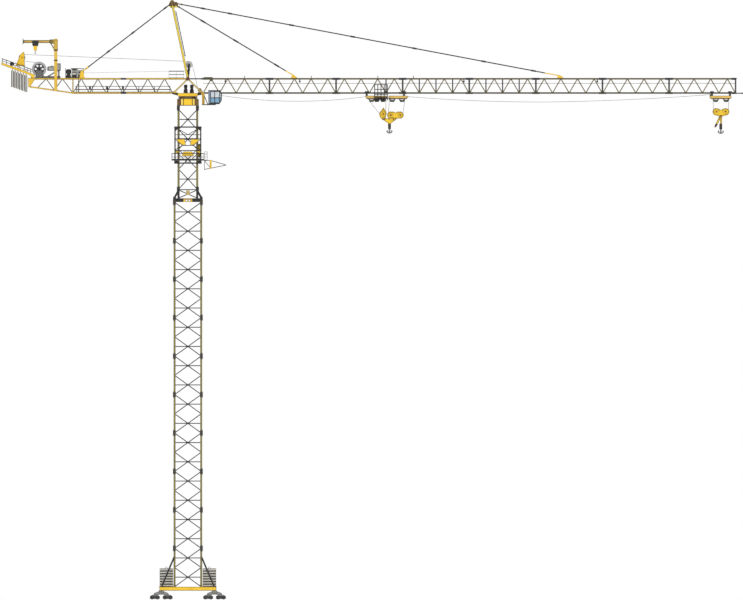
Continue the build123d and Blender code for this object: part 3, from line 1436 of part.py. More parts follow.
def ramshorn(x, ring_z):
    """Double hook with an eye, its shank and nut, turning about the shank."""
    nut = ring_z + HOOK_RING_RADIUS + SHANK_NECK + CROSSHEAD_HEIGHT + FACE_GAP
    pieces = [shaft((x, 0, ring_z), (x, 0, nut + 12), SHANK_RADIUS)]
    pieces.append(upright(x, 0, nut, nut + 12, NUT_RADIUS, 12))
    plane = Plane(origin=(x, 7, ring_z), x_dir=(1, 0, 0), z_dir=(0, -1, 0))
    profile = RegularPolygon(HOOK_RING_RADIUS, 16) - RegularPolygon(HOOK_THROAT_RADIUS, 12)
    for side in (-1, 1):
        ring = extrude(plane * (Pos(side * 21, 0) * profile), amount=14)
        low, high = sorted((x + side * 17, x + side * 46))
        pieces.append(ring - block(low, high, -10, 10, ring_z + 4, ring_z + 32))
    pieces.append(block(x - 11, x + 11, -7, 7, ring_z - 18, ring_z + 26))
    body = join(pieces)
    return body - cross_shaft(x, ring_z + 10, -10, 10, HOOK_EYE_RADIUS)


def sheave(x, z, radius):
    """Block sheave with its pin through both cheeks."""
    reach = CHEEK_GAP_HALF + CHEEK_PLATE + 4
    wheel = cross_rod(x, z, -SHEAVE_WIDTH / 2, SHEAVE_WIDTH / 2, radius, 20)
    return join([wheel, cross_rod(x, z, -reach, reach, 8)])


def cheeks(outline, lobes, x, z):
    """Pair of side plates, rounded where lobes are given."""
    walls = []
    for side in (-1, 1):
        low, high = sorted((side * CHEEK_GAP_HALF, side * (CHEEK_GAP_HALF + CHEEK_PLATE)))
        pieces = [plate(shifted(outline, x, z), low, high)]
        for place, height, radius in lobes:
            pieces.append(cross_rod(x + place, z + height, low, high, radius, 20))
        walls.append(join(pieces))
    return walls


def crosshead(x, bottom):
    """Housing with the shank's bearing bore."""
    half = CHEEK_GAP_HALF + CHEEK_PLATE + 6
    body = block(x - 22, x + 22, -half, half, bottom, bottom + CROSSHEAD_HEIGHT)
    bore = SHANK_RADIUS + RUNNING_FIT
    return body - shaft((x, 0, bottom - 10), (x, 0, bottom + CROSSHEAD_HEIGHT + 10), bore)


def inner_hook_block():
    """Three-sheave block with a pointed plate, a twin plate and a yoke."""
    x = INNER_HOOK_X
    z = INNER_BLOCK_Z
    gap = CHEEK_GAP_HALF + CHEEK_PLATE
    diamond = [
        (-156, 0),
        (-142, 34),
        (-116, 66),
        (-91, 102),
        (-70, 70),
        (-41, 12),
        (-60, -66),
        (-112, -87),
        (-146, -40),
    ]
    twin = [
        (-30, -14),
        (14, 36),
        (60, 40),
        (90, 22),
        (120, 40),
        (164, 36),
        (212, -14),
        (150, -62),
        (40, -96),
        (-10, -80),
    ]
    pieces = cheeks(diamond, [], x, z)
    pieces += cheeks(twin, [(18, -14, 54), (160, -14, 54)], x, z)
    pieces.append(sheave(x - 93, z, DIAMOND_SHEAVE_RADIUS))
    pieces.append(sheave(x + 18, z - 14, INNER_SHEAVE_RADIUS))
    pieces.append(sheave(x + 162, z - 14, INNER_SHEAVE_RADIUS))
    yoke = [
        (-100, -62),
        (98, -62),
        (98, -86),
        (20, -140),
        (20, -152),
        (-20, -152),
        (-20, -140),
        (-100, -86),
    ]
    for side in (-1, 1):
        low, high = sorted((side * (gap - 1), side * (gap + 6)))
        pieces.append(plate(shifted(yoke, x, z), low, high))
    pieces.append(crosshead(x, z - INNER_CROSSHEAD_DROP))
    for place in (-80, 60):
        pieces.append(cross_rod(x + place, z - 76, -gap - 8, gap + 8, 7))
    return join(pieces)


def outer_hook_block():
    """Two-sheave block with its hanging link and folded coupling arm."""
    x = OUTER_HOOK_X
    z = OUTER_BLOCK_Z
    gap = CHEEK_GAP_HALF + CHEEK_PLATE
    outline = [
        (-120, -24),
        (-68, 46),
        (-24, 42),
        (2, 24),
        (30, 42),
        (76, 46),
        (128, -24),
        (60, -62),
        (4, -80),
        (-52, -66),
    ]
    pieces = cheeks(outline, [(-68, -4, 56), (74, -4, 56)], x, z)
    for place in (-65, 73):
        pieces.append(sheave(x + place, z, OUTER_SHEAVE_RADIUS))
    for side in (-1, 1):
        low, high = sorted((side * (gap - 1), side * (gap + 5)))
        link = [(-22, -62), (20, -62), (20, -196), (-6, -196), (-14, -120)]
        pieces.append(plate(shifted(link, x, z), low, high))
    pieces.append(crosshead(x, z - OUTER_CROSSHEAD_DROP))
    pieces.append(cross_rod(x, z - 70, -gap - 7, gap + 7, 7))
    start = (x - 14, 0, z - 84)
    end = (x - 78, 0, z - 222)
    pieces.append(bar(start, end, 32, 2 * gap - 2))
    pieces.append(cross_rod(x - 84, z - 226, -gap - 4, gap + 4, 13))
    return join(pieces)


def fall(top_x, block_x, block_z, block_radius, side):
    """Rope fall that touches a trolley sheave and a block sheave on one side."""
    gap = ROPE_RADIUS + FACE_GAP
    upper = TROLLEY_SHEAVE_RADIUS + gap
    lower = block_radius + gap
    run = Vector(block_x - top_x, 0, block_z - TROLLEY_SHEAVE_Z)
    along = run.normalized()
    lean = (upper - lower) / run.length
    across = Vector(-along.Z, 0, along.X) * side
    normal = along * lean + across * sqrt(1 - lean * lean)
    start = Vector(top_x, 0, TROLLEY_SHEAVE_Z) + normal * upper
    end = Vector(block_x, 0, block_z) + normal * lower
    return rod(tuple(start), tuple(end), ROPE_RADIUS, 6)


def inner_falls():
    """Four falls of the double trolley."""
    x = INNER_HOOK_X
    z = INNER_BLOCK_Z
    return [
        fall(2758, x - 93, z, DIAMOND_SHEAVE_RADIUS, -1),
        fall(2930, x - 93, z, DIAMOND_SHEAVE_RADIUS, 1),
        fall(3069, x + 18, z - 14, INNER_SHEAVE_RADIUS, -1),
        fall(3216, x + 162, z - 14, INNER_SHEAVE_RADIUS, 1),
    ]


def outer_falls():
    """Two falls of the single trolley."""
    x = OUTER_HOOK_X
    z = OUTER_BLOCK_Z
    radius = OUTER_SHEAVE_RADIUS
    return [fall(7926, x - 65, z, radius, -1), fall(8081, x + 73, z, radius, 1)]


def hoist_rope():
    """Rope from the drum over the rear, head and guide pulleys."""
    clear = ROPE_RADIUS + 0.2
    lift = PULLEY_GROOVE_RADIUS + clear
    guide = GUIDE_GROOVE_RADIUS + clear
    fin_z = FIN_PULLEY_Z
    drum_top = DRUM_Z + DRUM_BARREL_RADIUS + clear
    runs = [
        ((DRUM_X - 4, drum_top), (FIN_PULLEY_X + 6, fin_z - lift)),
        ((FIN_PULLEY_X - 2, fin_z + lift), (HEAD_PULLEY_X - 2, HEAD_PULLEY_Z + lift)),
        ((HEAD_PULLEY_X + lift, HEAD_PULLEY_Z + 8), (GUIDE_PULLEY_X - guide, GUIDE_PULLEY_Z + 6)),
    ]
    return [rod((a[0], 0, a[1]), (b[0], 0, b[1]), ROPE_RADIUS, 6) for a, b in runs]


def sagging_rope(start, middle, end):
    """Slack rope between two points through its lowest point."""
    path = ThreePointArc((start[0], 0, start[1]), (middle[0], 0, middle[1]), (end[0], 0, end[1]))
    profile = Plane(origin=path @ 0, z_dir=path % 0) * RegularPolygon(ROPE_RADIUS, 6)
    return sweep(profile, path)


def slack_ropes():
    """Rope runs along the jib: to the inner trolley, past it, and to the outer trolley."""
    guide = (GUIDE_PULLEY_X - 6, GUIDE_PULLEY_Z - GUIDE_GROOVE_RADIUS - ROPE_RADIUS - 0.2)
    z = TROLLEY_SHEAVE_Z
    low = (5332.0, z - 41)
    lug = z + 39
    return [
        sagging_rope(guide, (1278, z - 20), (2663.0, lug)),
        sagging_rope((3310.3, lug), (4300, z - 20), low),
        sagging_rope((low[0] + FACE_GAP, low[1]), (6600, z - 5), (7835.7, z + 70)),
    ]


def build():
    """Write every node."""
    os.makedirs("parts", exist_ok=True)
    save("undercarriage_frame", undercarriage_frame())
    save("base_ballast_slabs", *base_ballast())
    save("base_struts", *base_struts())
    for name_x, side_x in (("rear", -1), ("front", 1)):
        for name_y, side_y in (("right", -1), ("left", 1)):
            corner = bogie(side_x * GAUGE_HALF, side_y * GAUGE_HALF)
            save(f"bogie_{name_x}_{name_y}", *corner)
    sections = tower_sections()
    save("tower_sections_1_to_5", *sections[:5])
    save("tower_sections_6_to_10", *sections[5:])
    save("transition_piece", transition_piece())
    save("upper_tower", upper_tower())
    save("slewing_ring_support", ring_support())
    save("slewing_ring", slewing_ring())
    save("climbing_frame", climbing_frame())
    save("climbing_walkway", climbing_walkway())
    save("climbing_cylinder_barrel", climbing_cylinder_barrel())
    save("climbing_cylinder_rod", climbing_cylinder_rod())
    save("feed_arm", feed_arm())
    save("slewing_platform", slewing_platform())
    save("slewing_drives", *slewing_drives())
    save("tower_head", tower_head(), pulley_bracket())
    save("head_pulley", turning_pulley(HEAD_PULLEY_X, HEAD_PULLEY_Z))
    save("head_platform", head_platform())
    sections = jib_sections()
    save("jib_sections_1_to_4", *sections[:4])
    save("jib_sections_5_to_8", *sections[4:])
    save("jib_tie", jib_tie())
    save("jib_tip_buffer", jib_tip_buffer())
    save("rear_pendants", *rear_pendants())
    inner = front_pendant(INNER_PIN, INNER_PENDANT_X, (0.22, 0.5, 0.85), 0.02)
    links = (0.07, 0.14, 0.3, 0.46, 0.62, 0.8, 0.93)
    save("front_pendants", inner, front_pendant(OUTER_PIN, OUTER_PENDANT_X, links, 0.006))
    save("counter_jib", counter_jib())
    save("counter_walkway", counter_walkway())
    save("ballast_beams", join([ballast_beams(), load_fin()]))
    save("counter_ballast_plates", *counter_ballast())
    save("fin_pulley", turning_pulley(FIN_PULLEY_X, FIN_PULLEY_Z))
    save("winch_frame", winch_frame())
    save("hoist_drum", hoist_drum())
    save("winch_motor", winch_motor())
    save("trolley_winch", trolley_winch())
    save("derrick_post", derrick_post())
    save("derrick_beam", derrick_beam())
    save("derrick_trolley", derrick_trolley())
    save("cab_body", cab_body())
    save("cab_glass", *cab_glass())
    save("cab_platform", cab_platform())
    save("inner_trolley", inner_trolley())
    save("maintenance_cage", maintenance_cage())
    save("inner_hook_block", inner_hook_block())
    save("inner_hook", ramshorn(INNER_HOOK_X, INNER_RING_Z))
    save("inner_falls", *inner_falls())
    save("outer_trolley", outer_trolley())
    save("outer_hook_block", outer_hook_block())
    save("outer_hook", ramshorn(OUTER_HOOK_X, OUTER_RING_Z))
    save("outer_falls", *outer_falls())
    save("hoist_rope", *hoist_rope())
    root, middle, tip = slack_ropes()
    save("rope_sag_root", root)
    save("rope_sag_middle", middle)
    save("rope_sag_tip", tip)


build()
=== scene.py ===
"""Looks of the tower crane: paints, concrete, glass and ropes, and the small detail around the CAD frame."""

import cmath
import functools
import math

import bmesh
import bpy
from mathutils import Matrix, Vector
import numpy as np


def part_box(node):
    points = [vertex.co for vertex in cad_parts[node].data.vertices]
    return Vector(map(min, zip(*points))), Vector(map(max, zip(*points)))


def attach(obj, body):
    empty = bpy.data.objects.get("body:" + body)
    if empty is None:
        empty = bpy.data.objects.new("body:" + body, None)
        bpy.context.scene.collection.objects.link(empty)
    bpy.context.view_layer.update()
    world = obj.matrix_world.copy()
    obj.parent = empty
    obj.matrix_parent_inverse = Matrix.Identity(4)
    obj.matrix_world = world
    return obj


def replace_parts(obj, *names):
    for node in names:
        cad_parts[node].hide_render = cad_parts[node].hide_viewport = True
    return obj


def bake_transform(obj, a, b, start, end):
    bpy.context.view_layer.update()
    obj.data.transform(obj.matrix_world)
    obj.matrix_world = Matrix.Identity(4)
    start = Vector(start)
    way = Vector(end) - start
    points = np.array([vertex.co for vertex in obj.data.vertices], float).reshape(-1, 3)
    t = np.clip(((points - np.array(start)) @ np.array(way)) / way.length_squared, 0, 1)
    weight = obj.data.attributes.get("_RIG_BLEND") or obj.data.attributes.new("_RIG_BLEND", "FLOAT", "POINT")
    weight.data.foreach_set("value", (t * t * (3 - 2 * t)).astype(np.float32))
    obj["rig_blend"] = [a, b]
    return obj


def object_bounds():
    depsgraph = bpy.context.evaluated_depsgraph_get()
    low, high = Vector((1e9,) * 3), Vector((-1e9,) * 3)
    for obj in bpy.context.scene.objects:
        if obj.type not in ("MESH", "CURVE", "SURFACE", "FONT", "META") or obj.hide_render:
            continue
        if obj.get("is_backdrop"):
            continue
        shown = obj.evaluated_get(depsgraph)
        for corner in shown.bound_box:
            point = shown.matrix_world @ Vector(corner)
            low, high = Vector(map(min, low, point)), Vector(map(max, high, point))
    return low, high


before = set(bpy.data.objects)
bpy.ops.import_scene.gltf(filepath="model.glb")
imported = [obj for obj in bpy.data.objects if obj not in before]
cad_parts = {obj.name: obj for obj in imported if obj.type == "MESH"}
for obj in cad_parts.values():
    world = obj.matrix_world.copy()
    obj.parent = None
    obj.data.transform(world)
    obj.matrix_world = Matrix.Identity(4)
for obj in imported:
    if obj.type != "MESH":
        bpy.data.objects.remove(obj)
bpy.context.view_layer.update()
MM = 0.001


# Paint and surface finishes


def rgb(red, green, blue):
    """Linear colour from screen values."""
    shares = [value / 255 for value in (red, green, blue)]
    return (*(s / 12.92 if s <= 0.04045 else ((s + 0.055) / 1.055) ** 2.4 for s in shares), 1.0)


def darker(colour, share):
    return (colour[0] * share, colour[1] * share, colour[2] * share, 1.0)


YELLOW = rgb(243, 198, 34)
LEG_OLIVE = rgb(128, 120, 60)
CHORD_OLIVE = rgb(92, 80, 38)
BRACE_OLIVE = rgb(70, 64, 30)
TAN = rgb(206, 178, 98)
BLACK = rgb(10, 10, 9)
SOOT = rgb(26, 21, 10)
BROWN = rgb(104, 80, 42)
# Brown painted as shade on the outer strips of the slewing ring support's faces.
SIDE_SHADE_BROWN = rgb(92, 56, 24)
CONCRETE = rgb(205, 203, 195)
GRATING_GREY = rgb(120, 120, 116)
CASING_GREY = rgb(176, 178, 180)


class Tree:
    """Node tree under construction."""

    def __init__(self, owner):
        owner.use_nodes = True
        self.nodes = owner.node_tree.nodes
        self.links = owner.node_tree.links

    def feed(self, socket, value):
        """Link an output to a socket, or set the socket to a constant."""
        if isinstance(value, bpy.types.NodeSocket):
            self.links.new(value, socket)
        else:
            socket.default_value = value

    def fill(self, node, **values):
        """Feed inputs by name, with underscores for spaces."""
        for name, value in values.items():
            self.feed(node.inputs[name.replace("_", " ")], value)
        return node

    def sum(self, operation, *values):
        node = self.nodes.new("ShaderNodeMath")
        node.operation = operation
        for socket, value in zip(node.inputs, values):
            self.feed(socket, value)
        return node.outputs[0]

    def either(self, first, second):
        return self.sum("MAXIMUM", first, second)

    def ranged(self, value, low, high, start=0.0, end=1.0):
        node = self.nodes.new("ShaderNodeMapRange")
        self.fill(node, Value=value, From_Min=low, From_Max=high, To_Min=start, To_Max=end)
        return node.outputs[0]


class Surface(Tree):
    """Material with masks on its object coordinates, in metres."""

    def __init__(self, name):
        self.material = bpy.data.materials.new(name)
        super().__init__(self.material)
        self.place = self.nodes.new("ShaderNodeTexCoord").outputs["Object"]
        parts = self.nodes.new("ShaderNodeSeparateXYZ")
        self.links.new(self.place, parts.inputs[0])
        self.x, self.y, self.z = parts.outputs

    def off(self, value, origin):
        return self.sum("SUBTRACT", value, origin)

    def above(self, value, level):
        return self.sum("GREATER_THAN", value, level)

    def below(self, value, level):
        return self.sum("LESS_THAN", value, level)

    def outside(self, value, level):
        """Further than the level from nought, either way."""
        return self.above(self.sum("ABSOLUTE", value), level)

    def inside(self, value, level):
        return self.below(self.sum("ABSOLUTE", value), level)

    def between(self, value, low, high):
        return self.both(self.above(value, low), self.below(value, high))

    def band(self, low, high):
        """Everything between two levels, given in millimetres."""
        return self.between(self.z, low * MM, high * MM)

    def over(self, level):
        return self.above(self.z, level * MM)

    def under(self, level):
        return self.below(self.z, level * MM)

    def both(self, first, *others):
        for mask in others:
            first = self.sum("MULTIPLY", first, mask)
        return first

    def away(self, first, x, second, y):
        """Distance from a line that crosses two coordinates at x and y."""
        first, second = self.off(first, x), self.off(second, y)
        squares = (self.sum("MULTIPLY", first, first), self.sum("MULTIPLY", second, second))
        return self.sum("SQRT", self.sum("ADD", *squares))

    def repeat(self, value, period):
        """Distance to the nearest whole number of periods."""
        share = self.sum("FRACT", self.sum("DIVIDE", value, period))
        return self.sum("MULTIPLY", self.sum("MINIMUM", share, self.off(1, share)), period)

    def noise(self, scale, detail=3.0, stretch=(1, 1, 1)):
        mapping = self.fill(self.nodes.new("ShaderNodeMapping"), Scale=stretch, Vector=self.place)
        node = self.nodes.new("ShaderNodeTexNoise")
        return self.fill(node, Scale=scale, Detail=detail, Vector=mapping.outputs[0]).outputs["Fac"]

    def edge(self, radius):
        """One along the edges of the form, nought on its flats."""
        bevel = self.fill(self.nodes.new("ShaderNodeBevel"), Radius=radius)
        bevel.samples = 6
        normal = self.nodes.new("ShaderNodeNewGeometry")
        dot = self.nodes.new("ShaderNodeVectorMath")
        dot.operation = "DOT_PRODUCT"
        self.links.new(bevel.outputs[0], dot.inputs[0])
        self.links.new(normal.outputs["True Normal"], dot.inputs[1])
        return self.ranged(dot.outputs["Value"], 0.995, 0.93)

    def mixed(self, mask, first, second):
        node = self.nodes.new("ShaderNodeMix")
        node.data_type = "RGBA"
        colours = [s for s in node.inputs if s.type == "RGBA"]
        for socket, value in zip((node.inputs["Factor"], *colours), (mask, first, second)):
            self.feed(socket, value)
        return [s for s in node.outputs if s.type == "RGBA"][0]

    def closed(self, colour, rough, bump=None, **others):
        """Finished material. The bump is its height, strength and distance."""
        shader = self.nodes["Principled BSDF"]
        if bump:
            node = self.nodes.new("ShaderNodeBump")
            self.fill(node, Height=bump[0], Strength=bump[1], Distance=bump[2])
            others["Normal"] = node.outputs[0]
        self.fill(shader, Base_Color=colour, Roughness=rough, **others)
        return self.material


def paint(name, base, zones=(), edge=SOOT, edge_radius=0.004, worn=0.3):
    """Satin enamel with grime, dark edges and further colours in zones."""
    s = Surface(name)
    colour = base
    for zone_colour, zone in zones:
        colour = s.mixed(zone(s), colour, zone_colour)
    streaks = s.ranged(s.noise(9.0, 4.0, (1, 1, 0.18)), 0.42, 0.78, 0.0, worn)
    colour = s.mixed(streaks, colour, darker(base, 0.55))
    specks = s.ranged(s.noise(210.0, 2.0), 0.68, 0.74, 0.0, worn)
    colour = s.mixed(specks, colour, rgb(96, 66, 38))
    if edge_radius:
        colour = s.mixed(s.edge(edge_radius), colour, edge)
    rough = s.ranged(s.noise(34.0), 0.3, 0.7, 0.34, 0.54)
    return s.closed(colour, rough, (s.noise(130.0, 4.0), 0.12, 0.0006), Coat_Weight=0.12, Coat_Roughness=0.3)


def metal(name, base, rough, metallic, edge_radius=0.0):
    """Bare or galvanised steel with fine grain."""
    s = Surface(name)
    grain = s.noise(90.0, 5.0)
    colour = s.mixed(s.ranged(grain, 0.3, 0.72), darker(base, 0.7), base)
    stain = s.ranged(s.noise(16.0, 3.0), 0.55, 0.8, 0.0, 0.5)
    colour = s.mixed(stain, colour, darker(base, 0.42))
    if edge_radius:
        colour = s.mixed(s.edge(edge_radius), colour, SOOT)
    rough = s.ranged(grain, 0.3, 0.7, rough - 0.1, rough + 0.15)
    return s.closed(colour, rough, (grain, 0.15, 0.0004), Metallic=metallic)


def concrete(name, joints):
    """Cast concrete with pores, board marks, rain stains, and black painted shade where the gaps between
    slabs and plates fall.
    """
    s = Surface(name)
    patches = s.noise(7.0, 5.0)
    colour = s.mixed(s.ranged(patches, 0.3, 0.7), darker(CONCRETE, 0.86), CONCRETE)
    stains = s.ranged(s.noise(14.0, 4.0, (1, 1, 0.15)), 0.5, 0.8, 0.0, 0.5)
    colour = s.mixed(stains, colour, rgb(140, 136, 126))
    colour = s.mixed(s.ranged(s.noise(320.0, 2.0), 0.66, 0.72), colour, rgb(116, 113, 106))
    # Black in the joints is painted shade, standing in for the shadowed gaps between the slabs and plates.
    colour = s.mixed(joints(s), colour, BLACK)
    colour = s.mixed(s.edge(0.004), colour, rgb(48, 47, 44))
    return s.closed(colour, s.ranged(patches, 0.2, 0.8, 0.75, 0.95), (s.noise(320.0, 3.0), 0.35, 0.001))


def grating(name, base, level, rail_colour, bars=()):
    """Open grating with lighter bars, and the painted railing above a level, in millimetres."""
    s = Surface(name)
    pitch = 0.012
    width = pitch * 0.22
    ribs = s.either(s.below(s.repeat(s.x, pitch), width), s.below(s.repeat(s.y, pitch * 1.6), width))
    colour = s.mixed(ribs, darker(base, 0.25), base)
    colour = s.mixed(s.ranged(s.noise(25.0), 0.45, 0.75, 0.0, 0.5), colour, darker(base, 0.5))
    colour = s.mixed(s.over(level), colour, rail_colour)
    for height in bars:
        colour = s.mixed(s.band(level - 12 + height, level - 2 + height), colour, BLACK)
    return s.closed(colour, s.ranged(s.noise(60.0), 0.3, 0.7, 0.45, 0.7), (ribs, 0.6, 0.0015), Metallic=0.4)


def glazing(name):
    """Blue tinted safety glass, paler above its middle bar."""
    s = Surface(name)
    colour = s.mixed(s.over(CAB_FLOOR + 96), rgb(150, 195, 226), rgb(232, 240, 246))
    colour = s.mixed(s.ranged(s.noise(18.0), 0.5, 0.75, 0.0, 0.35), colour, rgb(214, 230, 242))
    return s.closed(colour, s.ranged(s.noise(40.0), 0.3, 0.7, 0.03, 0.1), Transmission_Weight=0.35, IOR=1.3)


def rope_finish(name, base):
    """Steel wire rope, its strands lighter on their crowns."""
    s = Surface(name)
    twist = s.noise(520.0, 2.0)
    colour = s.mixed(s.ranged(twist, 0.35, 0.65), darker(base, 0.45), base)
    return s.closed(colour, s.ranged(twist, 0.3, 0.7, 0.35, 0.6), (twist, 0.3, 0.0005), Metallic=0.6)


# Mesh building, in millimetres

SIDES = (-1, 1)
CORNERS = [(a, b) for a in SIDES for b in SIDES]
ALONG, OUT, UP = (1, 0, 0), (0, 1, 0), (0, 0, 1)


def polar(radius, degrees):
    angle = math.radians(degrees)
    return radius * math.cos(angle), radius * math.sin(angle)


def facing(axis, along, out, level):
    """Point on a side that faces along X or Y."""
    return (along, out, level) if axis == "y" else (out, along, level)


class Shape:
    """Vertices and faces of one piece, gathered from simple solids."""

    def __init__(self):
        self.points = []
        self.faces = []

    def skin(self, rows, closed=False):
        """Faces between rows of points. The ends are capped, or joined when closed."""
        first, sides, count = len(self.points), len(rows[0]), len(rows)
        self.points.extend(Vector(p) for row in rows for p in row)
        for row in range(count if closed else count - 1):
            a, b = first + row * sides, first + (row + 1) % count * sides
            for i in range(sides):
                j = (i + 1) % sides
                self.faces.append((a + i, a + j, b + j, b + i))
        if not closed:
            last = first + (count - 1) * sides
            self.faces += [tuple(range(first + sides - 1, first - 1, -1)), tuple(range(last, last + sides))]

    def prism(self, outline, low, high, axis="y", at=(0, 0)):
        """Upright profile, moved to a place and pulled along an axis."""
        self.skin([[facing(axis, a + at[0], t, b + at[1]) for a, b in outline] for t in (low, high)])

    def box(self, corner, opposite):
        (a, b), (low, high), (c, d) = zip(corner, opposite)
        self.prism([(a, c), (b, c), (b, d), (a, d)], low, high)

    def turned(self, centre, axis, profile, sides=24, turn=0.5, closed=False):
        """Profile of (distance along the axis, radius) pairs turned about it."""
        axis = Vector(axis).normalized()
        first = axis.orthogonal().normalized()
        second = axis.cross(first)
        angles = [2 * math.pi * (i + turn) / sides for i in range(sides)]
        spokes = [first * math.cos(a) + second * math.sin(a) for a in angles]
        centre = Vector(centre)
        self.skin([[centre + axis * along + s * radius for s in spokes] for along, radius in profile], closed)

    def ring(self, centre, axis, inner, outer, low, high, sides=24):
        profile = ((low, inner), (low, outer), (high, outer), (high, inner))
        self.turned(centre, axis, profile, sides, 0, True)

    def cap(self, centre, axis, radius, tip, height, top, sides=24):
        """Round boss that narrows from its height to its top."""
        self.turned(centre, axis, ((-0.5, radius), (height, radius), (top, tip)), sides)

    def bolt(self, centre, axis, radius=4.0, height=3.5):
        self.turned(centre, axis, ((-0.6, radius), (height - 0.8, radius), (height, radius * 0.8)), 6)

    def mirrored(self, *axes):
        """With the same again on the other side of the middle, along X (0) or Y (1)."""
        for axis in axes or (1,):
            flip = Vector([-1 if i == axis else 1 for i in range(3)])
            count = len(self.points)
            self.points += [point * flip for point in self.points]
            self.faces += [tuple(count + i for i in face) for face in self.faces]
        return self

    def sweep(self, stations, sizes):
        """Points round stations of place, direction and turn, one for each size."""
        rows = []
        side = stations[0][1].orthogonal()
        for place, along, turn in stations:
            side = (side - along * side.dot(along)).normalized()
            up = along.cross(side)
            angles = [2 * math.pi * (k / len(sizes) + turn) for k in range(len(sizes))]
            rows.append([place + (side * math.cos(a) + up * math.sin(a)) * r for a, r in zip(angles, sizes)])
        self.skin(rows)

    def tube(self, path, radius, sides=8):
        """Round bar along a list of points, with mitred corners."""
        path = [Vector(p) for p in path]
        steps = zip(path, path[:1] + path, path[1:] + path[-1:])
        self.sweep([(p, (after - before).normalized(), 0) for p, before, after in steps], [radius] * sides)

    def strand(self, path, radius, lay, step):
        """Wire rope of six twisted strands along a list of points."""
        path = [Vector(p) for p in path]
        stations = []
        travelled = 0.0
        for first, last in zip(path, path[1:]):
            length = (last - first).length
            along = (last - first).normalized()
            count = max(1, round(length / step))
            for share in (i / count for i in range(count)):
                stations.append((first.lerp(last, share), along, (travelled + length * share) / lay))
            travelled += length
        stations.append((path[-1], along, travelled / lay))
        self.sweep(stations, [radius * 0.78, radius] * 6)


def add_object(name, data):
    thing = bpy.data.objects.new(name, data)
    bpy.context.scene.collection.objects.link(thing)
    return thing


def make(body, name, shape, material, slot="tower_steel", smooth=False, bevel=0.0):
    """Piece with a shape in millimetres, placed on its body."""
    mesh = bpy.data.meshes.new(name)
    mesh.from_pydata([tuple(p * MM) for p in shape.points], [], shape.faces)
    mesh.validate()
    work = bmesh.new()
    work.from_mesh(mesh)
    bmesh.ops.recalc_face_normals(work, faces=work.faces)
    work.to_mesh(mesh)
    work.free()
    piece = add_object(name, mesh)
    mesh.materials.append(material)
    if smooth:
        for face in mesh.polygons:
            face.use_smooth = True
        mesh.set_sharp_from_angle(angle=math.radians(35))
    if bevel:
        modifier = piece.modifiers.new("rounding", "BEVEL")
        modifier.width = bevel * MM
        modifier.segments = 2
        modifier.limit_method = "ANGLE"
    if body:
        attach(piece, body)
    return piece


make_base = functools.partial(make, "base_and_tower")
make_climbing = functools.partial(make, "climbing_frame")
make_upper = functools.partial(make, "superstructure")


def dress(material, *names):
    """Give CAD nodes a finish."""
    for name in names:
        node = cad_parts[name]
        if not node.material_slots:
            node.data.materials.append(material)
        for place in node.material_slots:
            place.link = "OBJECT"
            place.material = material


# Levels and places taken from the frame, in millimetres


def foot_of(node):
    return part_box(node)[0].z / MM


def top_of(node):
    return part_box(node)[1].z / MM


BOGIE = 400
BEAM_FACE = 425
PIVOT_Z = 106.6
WHEEL_Z = 27.5
TOWER_BASE = foot_of("tower_sections_1_to_5")
TOWER_TOP = top_of("tower_sections_6_to_10")
SECTIONS = 10
SECTION = (TOWER_TOP + 0.3 - TOWER_BASE) / SECTIONS
CELL = (SECTION - 0.3) / 2
UPPER_CELL = 298.8
LEG = 200.0
LEG_FACE = LEG + 19.0
UPPER_LEG = 140.0
UPPER_FACE = UPPER_LEG + 20.0
UPPER_BASE = foot_of("upper_tower")
UPPER_TOP = top_of("upper_tower")
SUPPORT_LOW = foot_of("slewing_ring_support")
SUPPORT_FACE = 158.0
RING_LOW = foot_of("slewing_ring")
PLATFORM_TOP = top_of("slewing_ring") + 51.0
CLIMB = 193.0
CLIMB_LOW = foot_of("climbing_frame")
CLIMB_HIGH = top_of("climbing_frame")
CLIMB_DECK = foot_of("climbing_walkway") + 8
JIB_ROOT = 225.0
JIB_TIP = JIB_ROOT + 8000
JIB_TOP = top_of("jib_sections_1_to_4") - 12
JIB_BOTTOM = JIB_TOP - 213
LIFELINE = JIB_BOTTOM + 145
COUNTER_TOP = JIB_TOP
COUNTER_BOTTOM = JIB_BOTTOM
KNOT = JIB_TOP
MACHINE_BASE = foot_of("winch_frame")
WALKWAY = foot_of("counter_walkway")
CASING_LOW = COUNTER_TOP + 121
CHORD_Y = 110.0
DRUM = (-2233.0, COUNTER_TOP + 148)
FIN_PULLEY = (-2491.0, COUNTER_TOP + 319)
HEAD_PULLEY = (18.0, KNOT + 213)
SMALL_SHEAVE = (16.0, KNOT + 135)
GUIDE_PULLEY = (177.0, PLATFORM_TOP + 46)
TROLLEY_DRUM = (-1793.0, COUNTER_TOP + 105)
DERRICK_X, DERRICK_Y = -1984.0, -152.0
DERRICK_LOW = top_of("derrick_trolley") - 34
SHEAVE_Z = JIB_BOTTOM - 95
TROLLEY_FACE = 150.5
AXLE_Z = JIB_BOTTOM + 8.3
CAGE_LOW, CAGE_HIGH = 2780, 3020
INNER_HOOK = (3027.0, SHEAVE_Z - 222)
OUTER_HOOK = (8001.0, SHEAVE_Z - 184)
CROSSHEAD_TOP = 7143.7
CAB_FLOOR = foot_of("cab_body")


# Finishes


def transition_zones():
    """Yellow holed plates, tan centre plates, all else dark."""
    low = TOWER_TOP + 55
    front = lambda s: s.both(s.inside(s.x, 0.066), s.outside(s.y, 0.19), s.under(low))
    side = lambda s: s.both(s.inside(s.y, 0.066), s.outside(s.x, 0.19), s.under(low))
    level = TOWER_TOP + 109, TOWER_TOP + 180
    centre = lambda s: s.both(s.inside(s.x, 0.0275), s.outside(s.y, 0.12), s.band(*level))
    return ((YELLOW, front), (YELLOW, side), (TAN, centre))


